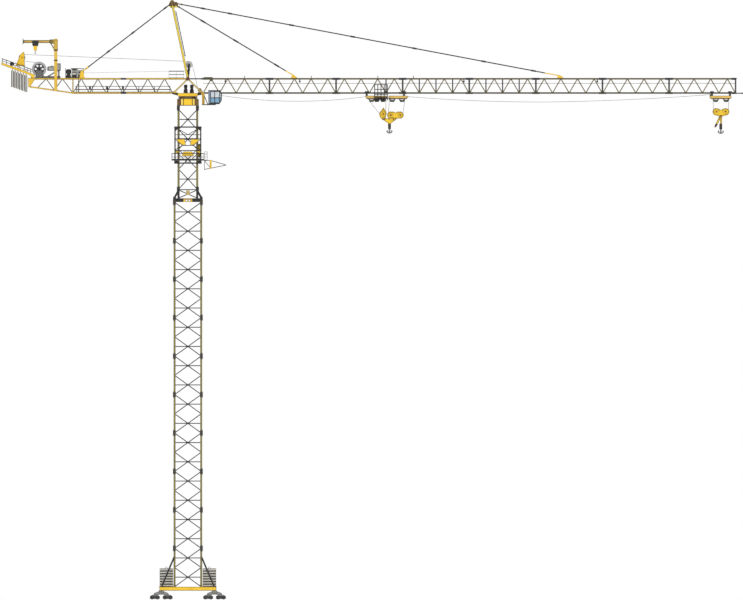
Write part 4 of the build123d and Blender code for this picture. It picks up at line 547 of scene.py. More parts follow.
def pivot_marks(s):
    """Dark ring and dot round each bogie pivot's end."""
    away = s.away(s.sum("ABSOLUTE", s.x), BOGIE * MM, s.z, PIVOT_Z * MM)
    return s.both(s.outside(s.y, 0.43), s.either(s.between(away, 0.0135, 0.019), s.below(away, 0.0045)))


def jib_zones():
    """Dark chords, and black frames where the sections meet."""
    middle = (JIB_TOP + JIB_BOTTOM) / 2
    reach = (JIB_TOP - JIB_BOTTOM) / 2 - 12.5
    chords = lambda s: s.outside(s.off(s.z, middle * MM), reach * MM)
    joints = lambda s: s.both(s.below(s.repeat(s.off(s.x, JIB_ROOT * MM), 1.0), 0.0135), s.above(s.x, 0.5))
    return ((CHORD_OLIVE, chords), (BLACK, joints))


def counter_zones():
    """Yellow chords and outer bars, dark braces and a tan post."""
    top = COUNTER_TOP - 13.5
    braces = lambda s: s.both(s.band(COUNTER_BOTTOM + 13.5, top), s.between(s.x, -1.715, -0.16))
    post = lambda s: s.both(s.band(COUNTER_BOTTOM + 10, top), s.between(s.x, -1.737, -1.7155))

    def outer(s):
        """Braces above the rising bottom chord of the outer bay."""
        slope = 0.151
        over = s.sum("ADD", s.z, s.sum("MULTIPLY", s.x, slope))
        clear = s.above(over, (COUNTER_BOTTOM + 15) * MM - 1.72 * slope)
        return s.both(clear, s.under(top), s.between(s.x, -2.26, -1.738))

    return ((BRACE_OLIVE, braces), (BRACE_OLIVE, outer), (TAN, post))


def drum_rings(s):
    away = s.away(s.x, DRUM[0] * MM, s.z, DRUM[1] * MM)
    return s.both(s.outside(s.y, 0.074), s.between(away, 0.024, 0.078))


def cabinets(s):
    """Two rows of pale panels in the dark cabinets."""
    across = s.either(s.between(s.x, -1.736, -1.674), s.between(s.x, -1.644, -1.58))
    lower = s.band(MACHINE_BASE + 48, MACHINE_BASE + 76)
    return s.both(across, s.either(lower, s.band(MACHINE_BASE + 90, MACHINE_BASE + 120)))


def knot_mark(s):
    return s.below(s.away(s.x, 0.0, s.z, KNOT * MM), 0.03)


def legs(s, half):
    return s.both(s.outside(s.x, half), s.outside(s.y, half))


def painted(names, base, zones=(), **looks):
    """Give CAD nodes a paint that is named after the first of them."""
    names = names.split()
    dress(paint(f"{names[0]}_paint", base, zones, **looks), *names)


black_paint = paint("black_paint", BLACK, edge_radius=0.0, worn=0.15)
yellow_paint = paint("machine_yellow_paint", YELLOW, edge_radius=0.016)
plate_paint = paint("fishplate_paint", rgb(48, 46, 26), edge=BLACK, edge_radius=0.008)
fitting_paint = paint("dark_olive_paint", rgb(66, 64, 26), edge=BLACK)
pin_paint = paint("block_pin_paint", rgb(112, 40, 22), edge=BLACK, edge_radius=0.002)
dark_steel = metal("dark_steel", rgb(72, 73, 74), 0.45, 0.7)
bolt_steel = metal("bolt_steel", rgb(92, 92, 90), 0.42, 0.75)
hook_steel = metal("hook_steel", rgb(112, 113, 115), 0.45, 0.4, 0.005)
pale_steel = metal("pale_steel", rgb(214, 214, 210), 0.45, 0.3)
rope_grey = rope_finish("wire_rope", rgb(84, 84, 83))

dress(black_paint, "base_struts", "slewing_drives", "jib_tie", "maintenance_cage", "jib_tip_buffer")
dress(yellow_paint, "ballast_beams", "climbing_cylinder_barrel")
dress(hook_steel, "inner_hook", "outer_hook")
ropes = ("hoist_rope", "rope_sag_root", "rope_sag_middle", "rope_sag_tip", "inner_falls", "outer_falls")
dress(rope_grey, *ropes)
dress(metal("cylinder_chrome", rgb(205, 208, 210), 0.16, 1.0), "climbing_cylinder_rod")
dress(glazing("cab_glass_tint"), "cab_glass")

zones = ((LEG_OLIVE, lambda s: legs(s, 0.1835)),)
painted("tower_sections_1_to_5 tower_sections_6_to_10", BLACK, zones, edge_radius=0.0055)
zones = ((LEG_OLIVE, lambda s: s.both(legs(s, 0.1225), s.under(UPPER_TOP - 66))),)
painted("upper_tower", BLACK, zones, edge_radius=0.0055)
painted("transition_piece", BLACK, transition_zones(), edge_radius=0.005)

zones = ((rgb(150, 150, 148), lambda s: s.under(136.2)), (BLACK, pivot_marks))
painted("undercarriage_frame", YELLOW, zones, edge_radius=0.02)
bogies = "bogie_rear_right bogie_rear_left bogie_front_right bogie_front_left"
zones = ((rgb(46, 46, 46), lambda s: s.under(55.5)),)
painted(bogies, rgb(142, 143, 142), zones, edge=BLACK, edge_radius=0.02, worn=0.2)
# Black bands at the slab joints: painted shade in the gaps between the stacked ballast slabs.
joint_shade_bands = lambda s: s.below(s.repeat(s.off(s.z, TOWER_BASE * MM - 0.00015), 0.0393), 0.0092)
dress(concrete("slab_concrete", joint_shade_bands), "base_ballast_slabs")
# Black bands at the plate joints: painted shade in the gaps between the counter-ballast plates.
joint_shade_bands = lambda s: s.below(s.repeat(s.sum("ADD", s.x, 2.4505), 0.041), 0.0115)
dress(concrete("plate_concrete", joint_shade_bands), "counter_ballast_plates")

# The brown zones are painted shade on the outer strips of each face of the ring support.
zones = (
    (rgb(252, 222, 96), lambda s: s.outside(s.x, 0.075)),
    (SIDE_SHADE_BROWN, lambda s: s.both(s.outside(s.y, 0.1), s.outside(s.x, 0.124))),
    (SIDE_SHADE_BROWN, lambda s: s.both(s.outside(s.x, 0.1), s.outside(s.y, 0.124))),
    (SIDE_SHADE_BROWN, lambda s: s.both(s.outside(s.y, 0.1585), s.outside(s.x, 0.03))),
    (BLACK, lambda s: s.under(SUPPORT_LOW + 9)),
)
painted("slewing_ring_support", rgb(248, 202, 26), zones, edge_radius=0.005)
zones = ((SOOT, lambda s: s.between(s.repeat(s.off(s.z, RING_LOW * MM), 0.0125), 0.0, 0.0015)),)
painted("slewing_ring", BROWN, zones, edge_radius=0.005)
zones = (
    (TAN, lambda s: s.over(PLATFORM_TOP + 14)),
    (BLACK, lambda s: s.both(s.outside(s.x, 0.148), s.under(PLATFORM_TOP + 4))),
    (BROWN, lambda s: s.both(knot_mark(s), s.outside(s.y, 0.115))),
)
painted("slewing_platform", YELLOW, zones, edge_radius=0.014)
zones = (
    (rgb(92, 60, 40), lambda s: s.over(KNOT + 1094)),
    (BLACK, lambda s: s.both(s.inside(s.y, 0.0165), s.under(KNOT + 232))),
    (BROWN, knot_mark),
)
painted("tower_head", rgb(232, 206, 50), zones, edge_radius=0.013)
painted("head_pulley fin_pulley", CASING_GREY, edge=BLACK, edge_radius=0.006, worn=0.2)

painted("climbing_frame", BLACK, edge_radius=0.0, worn=0.2)
painted("feed_arm", BLACK, ((YELLOW, lambda s: s.between(s.x, 0.325, 0.358)),))
dress(grating("climbing_deck_grating", rgb(96, 96, 92), CLIMB_DECK + 1, BLACK), "climbing_walkway")
dress(grating("walkway_grating", GRATING_GREY, WALKWAY + 7, BLACK), "counter_walkway")
rail_grey = rgb(198, 199, 198)
dress(grating("head_deck_grating", GRATING_GREY, MACHINE_BASE + 7, rail_grey, (51, 101)), "head_platform")

jib = "jib_sections_1_to_4 jib_sections_5_to_8"
painted(jib, rgb(124, 108, 50), jib_zones(), edge_radius=0.008, worn=0.25)
painted("counter_jib", rgb(232, 190, 46), counter_zones(), edge_radius=0.013)
zones = (
    (YELLOW, lambda s: s.both(s.between(s.x, 1.47, 1.66), s.under(8200))),
    (YELLOW, lambda s: s.above(s.x, 5.36)),
    (BRACE_OLIVE, lambda s: s.below(s.x, -0.04)),
)
painted("front_pendants", BLACK, zones, edge_radius=0.003, worn=0.15)
zones = ((YELLOW, lambda s: s.below(s.x, -1.49)), (BRACE_OLIVE, lambda s: s.above(s.x, -0.33)))
painted("rear_pendants", BLACK, zones, edge_radius=0.003, worn=0.15)

painted("winch_motor", CASING_GREY, edge=BLACK, edge_radius=0.024, worn=0.2)
painted("winch_frame", rgb(92, 92, 90), edge=BLACK, edge_radius=0.005, worn=0.2)
painted("hoist_drum", rgb(164, 166, 168), ((BLACK, drum_rings),), edge=BLACK, edge_radius=0.003)
zones = ((rgb(196, 196, 188), cabinets),)
painted("trolley_winch", BLACK, zones, edge=BLACK, edge_radius=0.008, worn=0.15)
zones = (
    (BLACK, lambda s: s.below(s.x, -2.4725)),
    (rgb(120, 98, 34), lambda s: s.between(s.x, -2.0745, -2.022)),
)
painted("derrick_beam", rgb(214, 176, 66), zones, edge_radius=0.018)
sleeve = lambda s: s.above(s.away(s.x, DERRICK_X * MM, s.y, DERRICK_Y * MM), 0.026)
painted("derrick_post", rgb(228, 186, 58), ((BLACK, sleeve),))
zones = (
    (YELLOW, lambda s: s.under(DERRICK_LOW - 43.5)),
    (rgb(128, 129, 130), lambda s: s.under(DERRICK_LOW - 112.5)),
)
painted("derrick_trolley", BLACK, zones, edge_radius=0.005)

panel = lambda s: s.both(s.below(s.x, 0.338), s.band(CAB_FLOOR + 14, CAB_FLOOR + 196))
painted("cab_body", BLACK, ((rgb(112, 128, 146), panel),), edge=BLACK, worn=0.1)
column = lambda s: s.both(s.between(s.x, 0.2, 0.2505), s.over(CAB_FLOOR - 4))
painted("cab_platform", BLACK, ((rgb(214, 172, 40), column),), edge_radius=0.005)

zones = ((rgb(226, 186, 92), lambda s: s.band(SHEAVE_Z + 17, SHEAVE_Z + 51)),)
painted("inner_trolley outer_trolley", rgb(40, 36, 24), zones, edge_radius=0.014)
zones = ((BLACK, lambda s: s.under(CROSSHEAD_TOP)),)
finish = dict(edge=rgb(40, 30, 8), edge_radius=0.03, worn=0.15)
painted("inner_hook_block outer_hook_block", rgb(252, 208, 34), zones, **finish)


# Undercarriage and tower


def oval(width, height, steps=6):
    """Outline of an upright plate with round ends."""
    ends = [polar(width / 2, 180 * i / steps) for i in range(steps + 1)]
    straight = (height - width) / 2
    return [(a, straight + b) for a, b in ends] + [(-a, -straight - b) for a, b in ends]


def fishplates(half, face, levels, height):
    """Oval plates over the leg joints, with their bolts."""
    plates, bolts = Shape(), Shape()
    for level in levels:
        for sx, sy in CORNERS:
            for axis, place, out in (("y", sx * half, sy), ("x", sy * half, sx)):
                plates.prism(oval(40, height), out * (face - 0.5), out * (face + 5), axis, (place, level))
                for dx in (-8, 8):
                    for dz in (-height / 3, -height / 8, height / 8, height / 3):
                        spot = facing(axis, place + dx, out * (face + 5), level + dz)
                        bolts.bolt(spot, facing(axis, 0, out, 0), 3.0, 3)
    return plates, bolts


def brace_gussets(half, levels, bare=None):
    """Small plates where the braces cross, left off the face that carries the cylinder's lug."""
    shape = Shape()
    near, far = half + 6.5, half + 10
    outline = [(-27, -5), (-13, -13), (13, -13), (27, -5), (27, 5), (13, 13), (-13, 13), (-27, 5)]
    for level in levels:
        for side in SIDES:
            bolted = side < 0 or level != bare
            for axis in "yx" if bolted else "y":
                shape.prism(outline, side * near, side * far, axis, (0, level))
                for place in (-18, 18) if bolted else ():
                    spot = facing(axis, place, side * far, level)
                    shape.bolt(spot, facing(axis, 0, side, 0), 3.2, 2.5)
    return shape


joint_levels = [TOWER_BASE + SECTION * i for i in range(1, SECTIONS + 1)]
plates, bolts = fishplates(LEG, LEG_FACE, joint_levels, 92)
make_base("tower_fishplates", plates, plate_paint)
make_base("tower_fishplate_bolts", bolts, bolt_steel)
plates, bolts = fishplates(UPPER_LEG, UPPER_FACE, (UPPER_BASE, UPPER_TOP - 38), 76)
make_base("upper_fishplates", plates, black_paint)
make_base("upper_fishplate_bolts", bolts, bolt_steel)
levels = [TOWER_BASE + SECTION * i + CELL * (c + 0.5) for i in range(SECTIONS) for c in range(2)]
make_base("brace_gussets", brace_gussets(LEG, levels), black_paint)
levels = [UPPER_BASE + UPPER_CELL * (c + 0.5) for c in range(4)]
make_base("upper_gussets", brace_gussets(UPPER_LEG, levels, levels[1]), black_paint)

bolts, keepers = Shape(), Shape()
keepers.cap((BOGIE, 368.2, PIVOT_Z), (0, -1, 0), 17, 14, 4, 6)
for sx, sy in CORNERS:
    for place in (-26, 26):
        bolts.bolt((sx * BEAM_FACE, sy * 200 + place, 162), (sx, 0, 0), 4, 3.0)
        for z in (144, 178):
            bolts.bolt((sx * BOGIE + place, sy * BEAM_FACE, z), (0, sy, 0))
make_base("base_bolts", bolts, bolt_steel, "base_steel")
make_base("pivot_pin_keepers", keepers.mirrored(0, 1), dark_steel, "base_steel", True)


def bogie_trim(cx, cy):
    """Wheel rings, hubs and bolts of one bogie."""
    hubs, rings = Shape(), Shape()
    for offset in (cx - 96, cx + 96):
        for side in SIDES:
            for x in (offset - 41, offset + 41):
                hubs.cap((x, cy + side * 27.3, WHEEL_Z), (0, side, 0), 8, 5, 2, 3.8, 18)
                rings.ring((x, cy, WHEEL_Z), OUT, 18.5, 27.3, side * 24.2, side * 26.6, 28)
                rings.ring((x, cy, WHEEL_Z), OUT, 20, 27.3, side * 13.2, side * 16.2, 28)
            for dx in (-50, -18, 18, 50):
                hubs.bolt((offset + dx, cy + side * 24.5, 60 - abs(dx) * 0.2), (0, side, 0), 3.2, 3)
    return hubs, rings


for name, (sx, sy) in zip(bogies.split(), CORNERS):
    hubs, rings = bogie_trim(sx * BOGIE, sy * BOGIE)
    make(name, f"{name}_hubs", hubs, dark_steel, "bogie_steel", smooth=True)
    make(name, f"{name}_wheel_rings", rings, black_paint, "bogie_steel", smooth=True)

eyes, rims = Shape(), Shape()
arch = ((-16, -1), (-16, 14), (-8, 22), (8, 22), (16, 14), (16, -1))
for sx, sy in CORNERS:
    eyes.tube([(sx * 323 + a, sy * 150, top_of("base_ballast_slabs") + b) for a, b in arch], 3)
make_base("slab_lifting_eyes", eyes, dark_steel, "ballast_concrete", True)
rims.ring((22, 206, TOWER_TOP + 27.3), OUT, 13.6, 18.5, -0.5, 2.5)
make_base("transition_hole_rims", rims.mirrored(0, 1), dark_steel, smooth=True)

ring_bolts = Shape()
for i in range(36):
    spoke = Vector((*polar(1, 10 * i + 5), 0))
    ring_bolts.bolt(spoke * 141.4 + Vector((0, 0, RING_LOW + 18.5)), spoke, 3.2, 2.5)
make_base("slewing_ring_bolts", ring_bolts, bolt_steel, "ring_brown")

panels = Shape()
for side in SIDES:
    for place in (-136, -88, -24, 24, 88, 136):
        for dz in (18, 88):
            for axis in "yx":
                spot = facing(axis, place, side * SUPPORT_FACE, SUPPORT_LOW + dz)
                panels.bolt(spot, facing(axis, 0, side, 0), 3, 2.5)
make_base("ring_support_bolts", panels, bolt_steel, "machine_yellow")


# Climbing frame

gussets, corners, shoes, rails = Shape(), Shape(), Shape(), Shape()
sheets = [[(-66, 184), (66, 184), (94, 116), (-94, 116)]]
knees = []
for s in SIDES:
    sheets.append([(s * 186, 366), (s * 51, 372), (s * 28, 283), (s * 88, 283)])
    sheets.append([(s * 188, 191), (s * 110, 191), (s * 188, 150)])
    for level, way in ((CLIMB_HIGH - 3, -1), (CLIMB_LOW + 3, 1)):
        outline = ((202, 0), (202, 58), (184, 66), (132, 18), (132, 0))
        knees.append([(s * a, level + way * b) for a, b in outline])
for side in SIDES:
    for axis in "yx":
        for outline in sheets:
            gussets.prism(outline, side * (CLIMB + 6), side * (CLIMB + 10), axis, (0, CLIMB_LOW))
        for outline in knees:
            corners.prism(outline, side * (CLIMB + 6), side * (CLIMB + 9.5), axis)
        for height, radius in ((47, 4.0), (98, 5.5)):
            rails.tube([facing(axis, end, side * 242, CLIMB_DECK + height) for end in (-242, 242)], radius)
    rails.box((-244.5, side * 244.5, CLIMB_DECK), (244.5, side * 241.5, CLIMB_DECK + 18))
    rails.box((side * 244.5, -241, CLIMB_DECK), (side * 241.5, 241, CLIMB_DECK + 18))
back, edge, lip = CLIMB - 20, CLIMB + 10, CLIMB + 13
for sx, sy in CORNERS:
    for z in (CLIMB_LOW + 17.5, CLIMB_HIGH - 17.5):
        shoes.box((sx * edge, sy * back, z - 17), (sx * lip, sy * lip, z + 17))
        shoes.box((sx * back, sy * edge, z - 17), (sx * edge, sy * lip, z + 17))
make_climbing("climbing_frame_gussets", gussets, yellow_paint, "machine_yellow", bevel=0.8)
make_climbing("climbing_frame_corner_shoes", shoes, black_paint, bevel=1.0)
make_climbing("climbing_frame_corner_plates", corners, black_paint)
make_climbing("climbing_deck_toe_boards", rails, black_paint, "machine_yellow")

basket = Shape()
foot, top = CLIMB_DECK - 1.2, CLIMB_DECK + 128
for x, y in ((254, -46), (290, -46), (290, 0), (254, 46), (290, 46)):
    basket.box((x - 3, y - 3, foot if y else foot + 4), (x + 3, y + 3, top))
basket.box((251, -50, foot), (293, 50, foot + 5))
for z in (CLIMB_DECK + 45, CLIMB_DECK + 88, top - 5):
    basket.box((251, -49, z), (293, -43, z + 5))
    basket.box((251, 43, z), (293, 49, z + 5))
    basket.box((287, -46, z), (293, 46, z + 5))
make_climbing("feed_arm_basket", basket, black_paint)


# Slewing part and tower head

fins = Shape()
foot = PLATFORM_TOP + 0.3
for x, y in ((-33, -56), (59, 56)):
    for i in range(7):
        fins.ring((x, y, foot + 86 + i * 4.6), UP, 25.5, 29, 0, 1.8, 28)
    fins.ring((x, y, foot), UP, 29.5, 37, 0, 6, 28)
    for i in range(8):
        dx, dy = polar(33.3, 45 * i)
        fins.bolt((x + dx, y + dy, foot + 6), UP, 2.6, 2.6)
    fins.turned((x, y, foot + 118), UP, ((-1, 24), (4, 24), (9, 12)))
make_upper("slewing_drive_fins", fins, black_paint, "cabinet_black", True)

knot, sheave = Shape(), Shape()
knot.cap((0, 140, KNOT), OUT, 19, 14, 5, 8)
for i in range(4):
    dx, dz = polar(11, 45 + 90 * i)
    knot.bolt((dx, 147, KNOT + dz), OUT, 2.4, 3)
make_upper("knot_pin_caps", knot.mirrored(), pin_paint, "machine_yellow", True)
x, z = SMALL_SHEAVE
sheave.cap((x, 14, z), OUT, 19, 12, 3, 5, 20)
sheave.mirrored().turned((x, 0, z), OUT, ((-6, 17), (-2, 12), (2, 12), (6, 17)))

HEAD_FOOT = Vector((0, 0, KNOT))
HEAD_APEX = Vector((-240, 0, KNOT + 1142))
head_along = (HEAD_APEX - HEAD_FOOT).normalized()
head_side = Vector((head_along.z, 0, -head_along.x))


def on_head(share, out, y):
    """Point beside the tower head's centre line, at a share of its length."""
    return HEAD_FOOT.lerp(HEAD_APEX, share) + head_side * out + Vector((0, y, 0))


ladder = Shape()
out = 31
for y in (-22, 22):
    ladder.tube([on_head(0.29, out, y), on_head(0.885, out, y)], 6.0)
    for share in (0.3, 0.48, 0.66, 0.84):
        ladder.tube([on_head(share, 6, y), on_head(share, out, y)], 3.2, 6)
for i in range(24):
    share = 0.3 + 0.575 * i / 23
    ladder.tube([on_head(share, out + 2, -27), on_head(share, out + 2, 27)], 7.0)
make_upper("tower_head_ladder", ladder, black_paint, "tower_steel", True)
make_upper("trolley_rope_sheave", sheave, black_paint, "tower_steel", True)

rails, posts, windows = Shape(), Shape(), Shape()
for y in (-116, 116):
    for height, radius in ((101, 6.5), (51, 4.8)):
        rails.tube([(x, y, MACHINE_BASE + height) for x in (-286, -61)], radius, 10)
for y in (-90, 90):
    for height, radius in ((39, 6.5), (87, 4.2)):
        posts.tube([(x, y, WALKWAY + height) for x in (-1690, -261)], radius, 10)
    for x in range(-270, -1690, -233):
        posts.tube([(x, y, WALKWAY + 7), (x, y, WALKWAY + 82)], 5.2)
make_upper("head_platform_handrails", rails, black_paint, smooth=True)
make_upper("counter_walkway_handrails", posts, black_paint, "machine_yellow", True)

for low, high in ((-297, -293.5), (-158.5, -155)):
    for x in (340, 402, 474):
        windows.box((x - 5, low, CAB_FLOOR + 16), (x + 5, high, CAB_FLOOR + 196))
    for z in (CAB_FLOOR + 20, CAB_FLOOR + 96, CAB_FLOOR + 192):
        windows.box((335, low, z - 5), (479, high, z + 5))
make_upper("cab_window_frames", windows, black_paint, "cab_frame")


# Jib

plates, bolts = Shape(), Shape()
joints = [(JIB_ROOT + i * 1000 - 56, JIB_ROOT + i * 1000 + 56) for i in range(1, 8)]
joints.append((JIB_TIP - 60, JIB_TIP - 2))
for low, high in joints:
    plates.box((low, 12.1, JIB_TOP - 17), (high, 16, JIB_TOP + 15))
    plates.box((low, CHORD_Y - 12.1, JIB_BOTTOM - 15), (high, CHORD_Y - 15.5, JIB_BOTTOM + 15))
    plates.box((low, CHORD_Y - 11, JIB_BOTTOM - 16), (high, CHORD_Y + 11, JIB_BOTTOM - 12))
    for place in (low + 12, low + 34, high - 34, high - 12):
        bolts.bolt((place, 16, JIB_TOP), OUT, 4, 4)
plates.mirrored()
for low, high in joints:
    plates.box((low, -16, JIB_TOP + 12), (high, 16, JIB_TOP + 15.5))
make_upper("jib_joint_fittings", plates, black_paint, "jib_olive")
make_upper("jib_joint_bolts", bolts.mirrored(), bolt_steel, "jib_olive")

root, frames, lifelines, clips, pads = Shape(), Shape(), Shape(), Shape(), Shape()
outline = [(228, -15), (228, 18), (250, 25), (370, 25), (378, -12), (356, -38), (344, -38), (326, -14)]
root.prism(outline, 12.1, 18, "y", (0, JIB_TOP))
root.mirrored().box((228, -18, JIB_TOP + 12), (370, 18, JIB_TOP + 17))
for i in (11, 13, 14, 15, 17, 18, 19):
    x = JIB_ROOT + 250 * i
    for side in SIDES:
        frames.tube([(x, side * 6, JIB_TOP - 10), (x, side * (CHORD_Y - 4), JIB_BOTTOM + 10)], 9.5)
for y in (-49, 49):
    lifelines.tube([(x, y, LIFELINE) for x in (JIB_ROOT + 4, JIB_TIP - 4)], 3.0, 6)
for i in range(8):
    for x in (JIB_ROOT + i * 1000 + end for end in ((7, 993) if i else (993,))):
        clips.box((x - 4, 36, LIFELINE - 5), (x + 4, 53, LIFELINE + 5))
for i in range(3):
    spot = (JIB_TIP + 103.8 - 8 * i, CHORD_Y, JIB_BOTTOM - 4)
    pads.turned(spot, ALONG, ((0, 9), (4, 13 - i)), 20)
make_upper("jib_root_fitting", root, fitting_paint, "jib_olive", bevel=1.0)
make_upper("jib_inner_frames", frames, black_paint, "jib_olive", True)
make_upper("jib_lifelines", lifelines, black_paint, "rope_steel", True)
make_upper("jib_lifeline_clips", clips.mirrored(), black_paint, "jib_olive")

guides = Shape()
for x in (850, 1853, 2851, 3388):
    guides.box((x - 5, -5, JIB_TOP + 11.5), (x + 5, 5, JIB_TOP + 34))
    guides.ring((x, 0, JIB_TOP + 38), OUT, 5, 9, -3, 3, 16)
for x in (562, 1680, 4144, 6148):
    for side in SIDES:
        guides.prism([(-9, -11), (9, -11), (6, -50), (-6, -50)], side * 7, side * 10, "y", (x, JIB_TOP))
    guides.turned((x, 0, JIB_TOP - 42), OUT, ((-6.9, 14), (-2, 10), (2, 10), (6.9, 14)), 20)
for x, z, radius, face in ((JIB_TIP + 5, JIB_TOP + 2, 13, 9.5), (JIB_TIP - 40, JIB_TOP + 4, 10, 11.5)):
    for side in SIDES:
        profile = ((0, radius), (4, radius), (6, radius - 4))
        guides.turned((x, side * face, z), (0, side, 0), profile, 20)
make_upper("jib_rope_supports", guides, black_paint, "jib_olive", True)
make_upper("buffer_pads", pads.mirrored(), dark_steel, "jib_olive", True)


def pendant_pins():
    """Pins on both faces of the pendants' link blocks, and at the apex."""
    shape = Shape()
    for start, end, links, gap in (
        ((-158, 0, KNOT + 1092), (1596, 0, JIB_TOP + 44), (0.22, 0.5, 0.85), 0.0144),
        ((-176, 0, KNOT + 1132), (5592, 0, JIB_TOP + 44), (0.07, 0.14, 0.3, 0.46, 0.62, 0.8, 0.93), 0.00432),
        ((-272, 34, KNOT + 1116), (-1590, CHORD_Y, MACHINE_BASE + 92), (0.05, 0.42, 0.7, 0.94), 0.0125),
    ):
        for share in links:
            for place in (share - gap, share + gap):
                x, y, z = Vector(start).lerp(Vector(end), place)
                for centre in (-y, y) if y else (0,):
                    for face in SIDES:
                        shape.cap((x, centre + face * 8.5, z), (0, face, 0), 8, 5, 3, 5, 16)
    for x, z in ((-92, KNOT + 1116), (-132, KNOT + 1077)):
        for side in SIDES:
            shape.cap((x, side * 5.5, z), (0, side, 0), 14, 10, 5, 7, 20)
    return shape


make_upper("pendant_link_pins", pendant_pins(), dark_steel, "pendant_black", True)


# Counter-jib and its machinery

fittings = Shape()
for level in (COUNTER_TOP, COUNTER_BOTTOM):
    fittings.box((-1006, CHORD_Y + 12.8, level - 14), (-928, CHORD_Y + 17, level + 14))
    for x in (-995, -975, -959, -939):
        fittings.bolt((x, CHORD_Y + 17, level), OUT, 4, 4)
fittings.box((-1647, CHORD_Y - 6, COUNTER_BOTTOM + 12), (-1633, CHORD_Y + 6, COUNTER_TOP - 12))
for x in (-1470, -1215, -975):
    fittings.box((x - 15, 76, WALKWAY + 42), (x + 15, 87, WALKWAY + 84))
    fittings.box((x - 9, 74.5, WALKWAY + 50), (x + 9, 88.5, WALKWAY + 76))
make_upper("counter_jib_fittings", fittings.mirrored(), black_paint, "machine_yellow", bevel=0.8)


def beam_level(x):
    """Height of the inclined ballast beams' centre line."""
    return COUNTER_TOP + 52 + (-2315 - x) * math.tan(math.radians(20))


def ballast_rails():
    """Handrails above the inclined beams, and a cable reel on one of them."""
    shape = Shape()
    for y in (135, -135):
        for height, radius in ((78, 5.5), (46, 4.0)):
            shape.tube([(x, y, beam_level(x) + height) for x in (-2345, -2795)], radius)
        for x in (-2360, -2405, -2662, -2725, -2785):
            shape.tube([(x, y, beam_level(x) + height) for height in (15, 78)], 4.5)
    x = -2640
    z = beam_level(x) + 52
    for side in SIDES:
        shape.ring((x, y, z), OUT, 22, 33, side * 5, side * 7)
        for degrees in (20, 80, 140):
            (a, b), (c, d) = polar(27, degrees), polar(1, degrees)
            spoke = [(-a - d, c - b), (d - a, -b - c), (a + d, b - c), (a - d, b + c)]
            shape.prism(spoke, y + side * 6 - 2, y + side * 6 + 2, "y", (x, z))
    shape.turned((x, y, z), OUT, ((-8, 7), (8, 7)), 16)
    shape.turned((x, y, z), OUT, ((-5, 23), (5, 23)))
    return shape


make_upper("ballast_handrails", ballast_rails(), black_paint, "machine_yellow", True)


def winding(centre, radius, reach, pitch, thick, steps):
    """Rope turns laid side by side on a drum about Y."""
    shape = Shape()
    count = round(2 * reach / pitch) * steps
    points = []
    for i in range(count + 1):
        x, z = polar(radius, 360 * i / steps)
        points.append((centre[0] + x, -reach + 2 * reach * i / count, centre[1] + z))
    shape.tube(points, thick, 6)
    return shape


turns = winding(DRUM, 87.2, 70, 6.6, 3.0, 36)
make("hoist_drum", "hoist_drum_rope", turns, rope_grey, "rope_steel", smooth=True)
make_upper("trolley_drum_rope", winding(TROLLEY_DRUM, 32.2, 46, 4.4, 2.0, 24), rope_grey, "rope_steel", True)

ribs, caps, flanges = Shape(), Shape(), Shape()
for x in (-1982, -1951, -1920):
    for z in (8, 55, 102):
        ribs.bolt((x, 70, CASING_LOW + z), OUT, 3.2, 3)
ribs.mirrored().turned((-2100, 0, CASING_LOW + 31), (-1, 0, 0), ((-1, 29), (7, 29), (11, 22)), 28)
ribs.box((-2060, -22, CASING_LOW + 64), (-2024, 22, CASING_LOW + 78))
for x in range(-2093, -2000, 12):
    ribs.box((x, -62.5, CASING_LOW - 2), (x + 3, 62.5, CASING_LOW + 65.5))
caps.cap((DRUM[0], 106, DRUM[1]), OUT, 24, 20, 4, 6)
for i in range(6):
    dx, dz = polar(19, 60 * i + 30)
    caps.bolt((DRUM[0] + dx, 110.5, DRUM[1] + dz), OUT, 2.6, 3)
for x in (-2286, -2158, -2040, -1922):
    caps.bolt((x, 106, MACHINE_BASE + 9), OUT, 3.2, 3)
for left, right, height, face in ((-2102, -1992, 64, 60), (-1992, -1910, 110, 70)):
    near, far, low, top = face - 0.5, face + 5, CASING_LOW, CASING_LOW + height
    flanges.box((left, near, low - 1), (right, far, low + 7))
    flanges.box((left, near, top - 7), (right, far, top + 1))
    flanges.box((left, near, low + 7), (left + 8, far, top - 7))
    flanges.box((right - 8, near, low + 7), (right, far, top - 7))
make_upper("winch_motor_ribs", ribs, pale_steel, "winch_grey", bevel=0.6)
make_upper("drum_bearing_caps", caps.mirrored(), dark_steel, "winch_grey", True)
make_upper("winch_casing_flanges", flanges.mirrored(), black_paint, "winch_grey")

stop = Shape()
stop.box((-2480, DERRICK_Y - 30, DERRICK_LOW - 22), (-2470, DERRICK_Y + 30, DERRICK_LOW + 66))
make("derrick_beam", "derrick_end_stop", stop, black_paint, "machine_yellow", bevel=1.0)

louvres = Shape()
for low, high, top in ((-1742, -1668, MACHINE_BASE + 144), (-1650, -1572, MACHINE_BASE + 120)):
    for z in (top - 16 - i * 7 for i in range(5)):
        louvres.box((low + 14, 64, z - 2), (high - 14, 66.5, z + 1))
    louvres.box((high - 14, 64, MACHINE_BASE + 46), (high - 9, 66.5, MACHINE_BASE + 66))
louvres.mirrored().ring((-1572, 0, MACHINE_BASE + 75), ALONG, 4, 9, -0.5, 4, 20)
make_upper("trolley_winch_trim", louvres, dark_steel, "cabinet_black")


# Trolleys and hook blocks


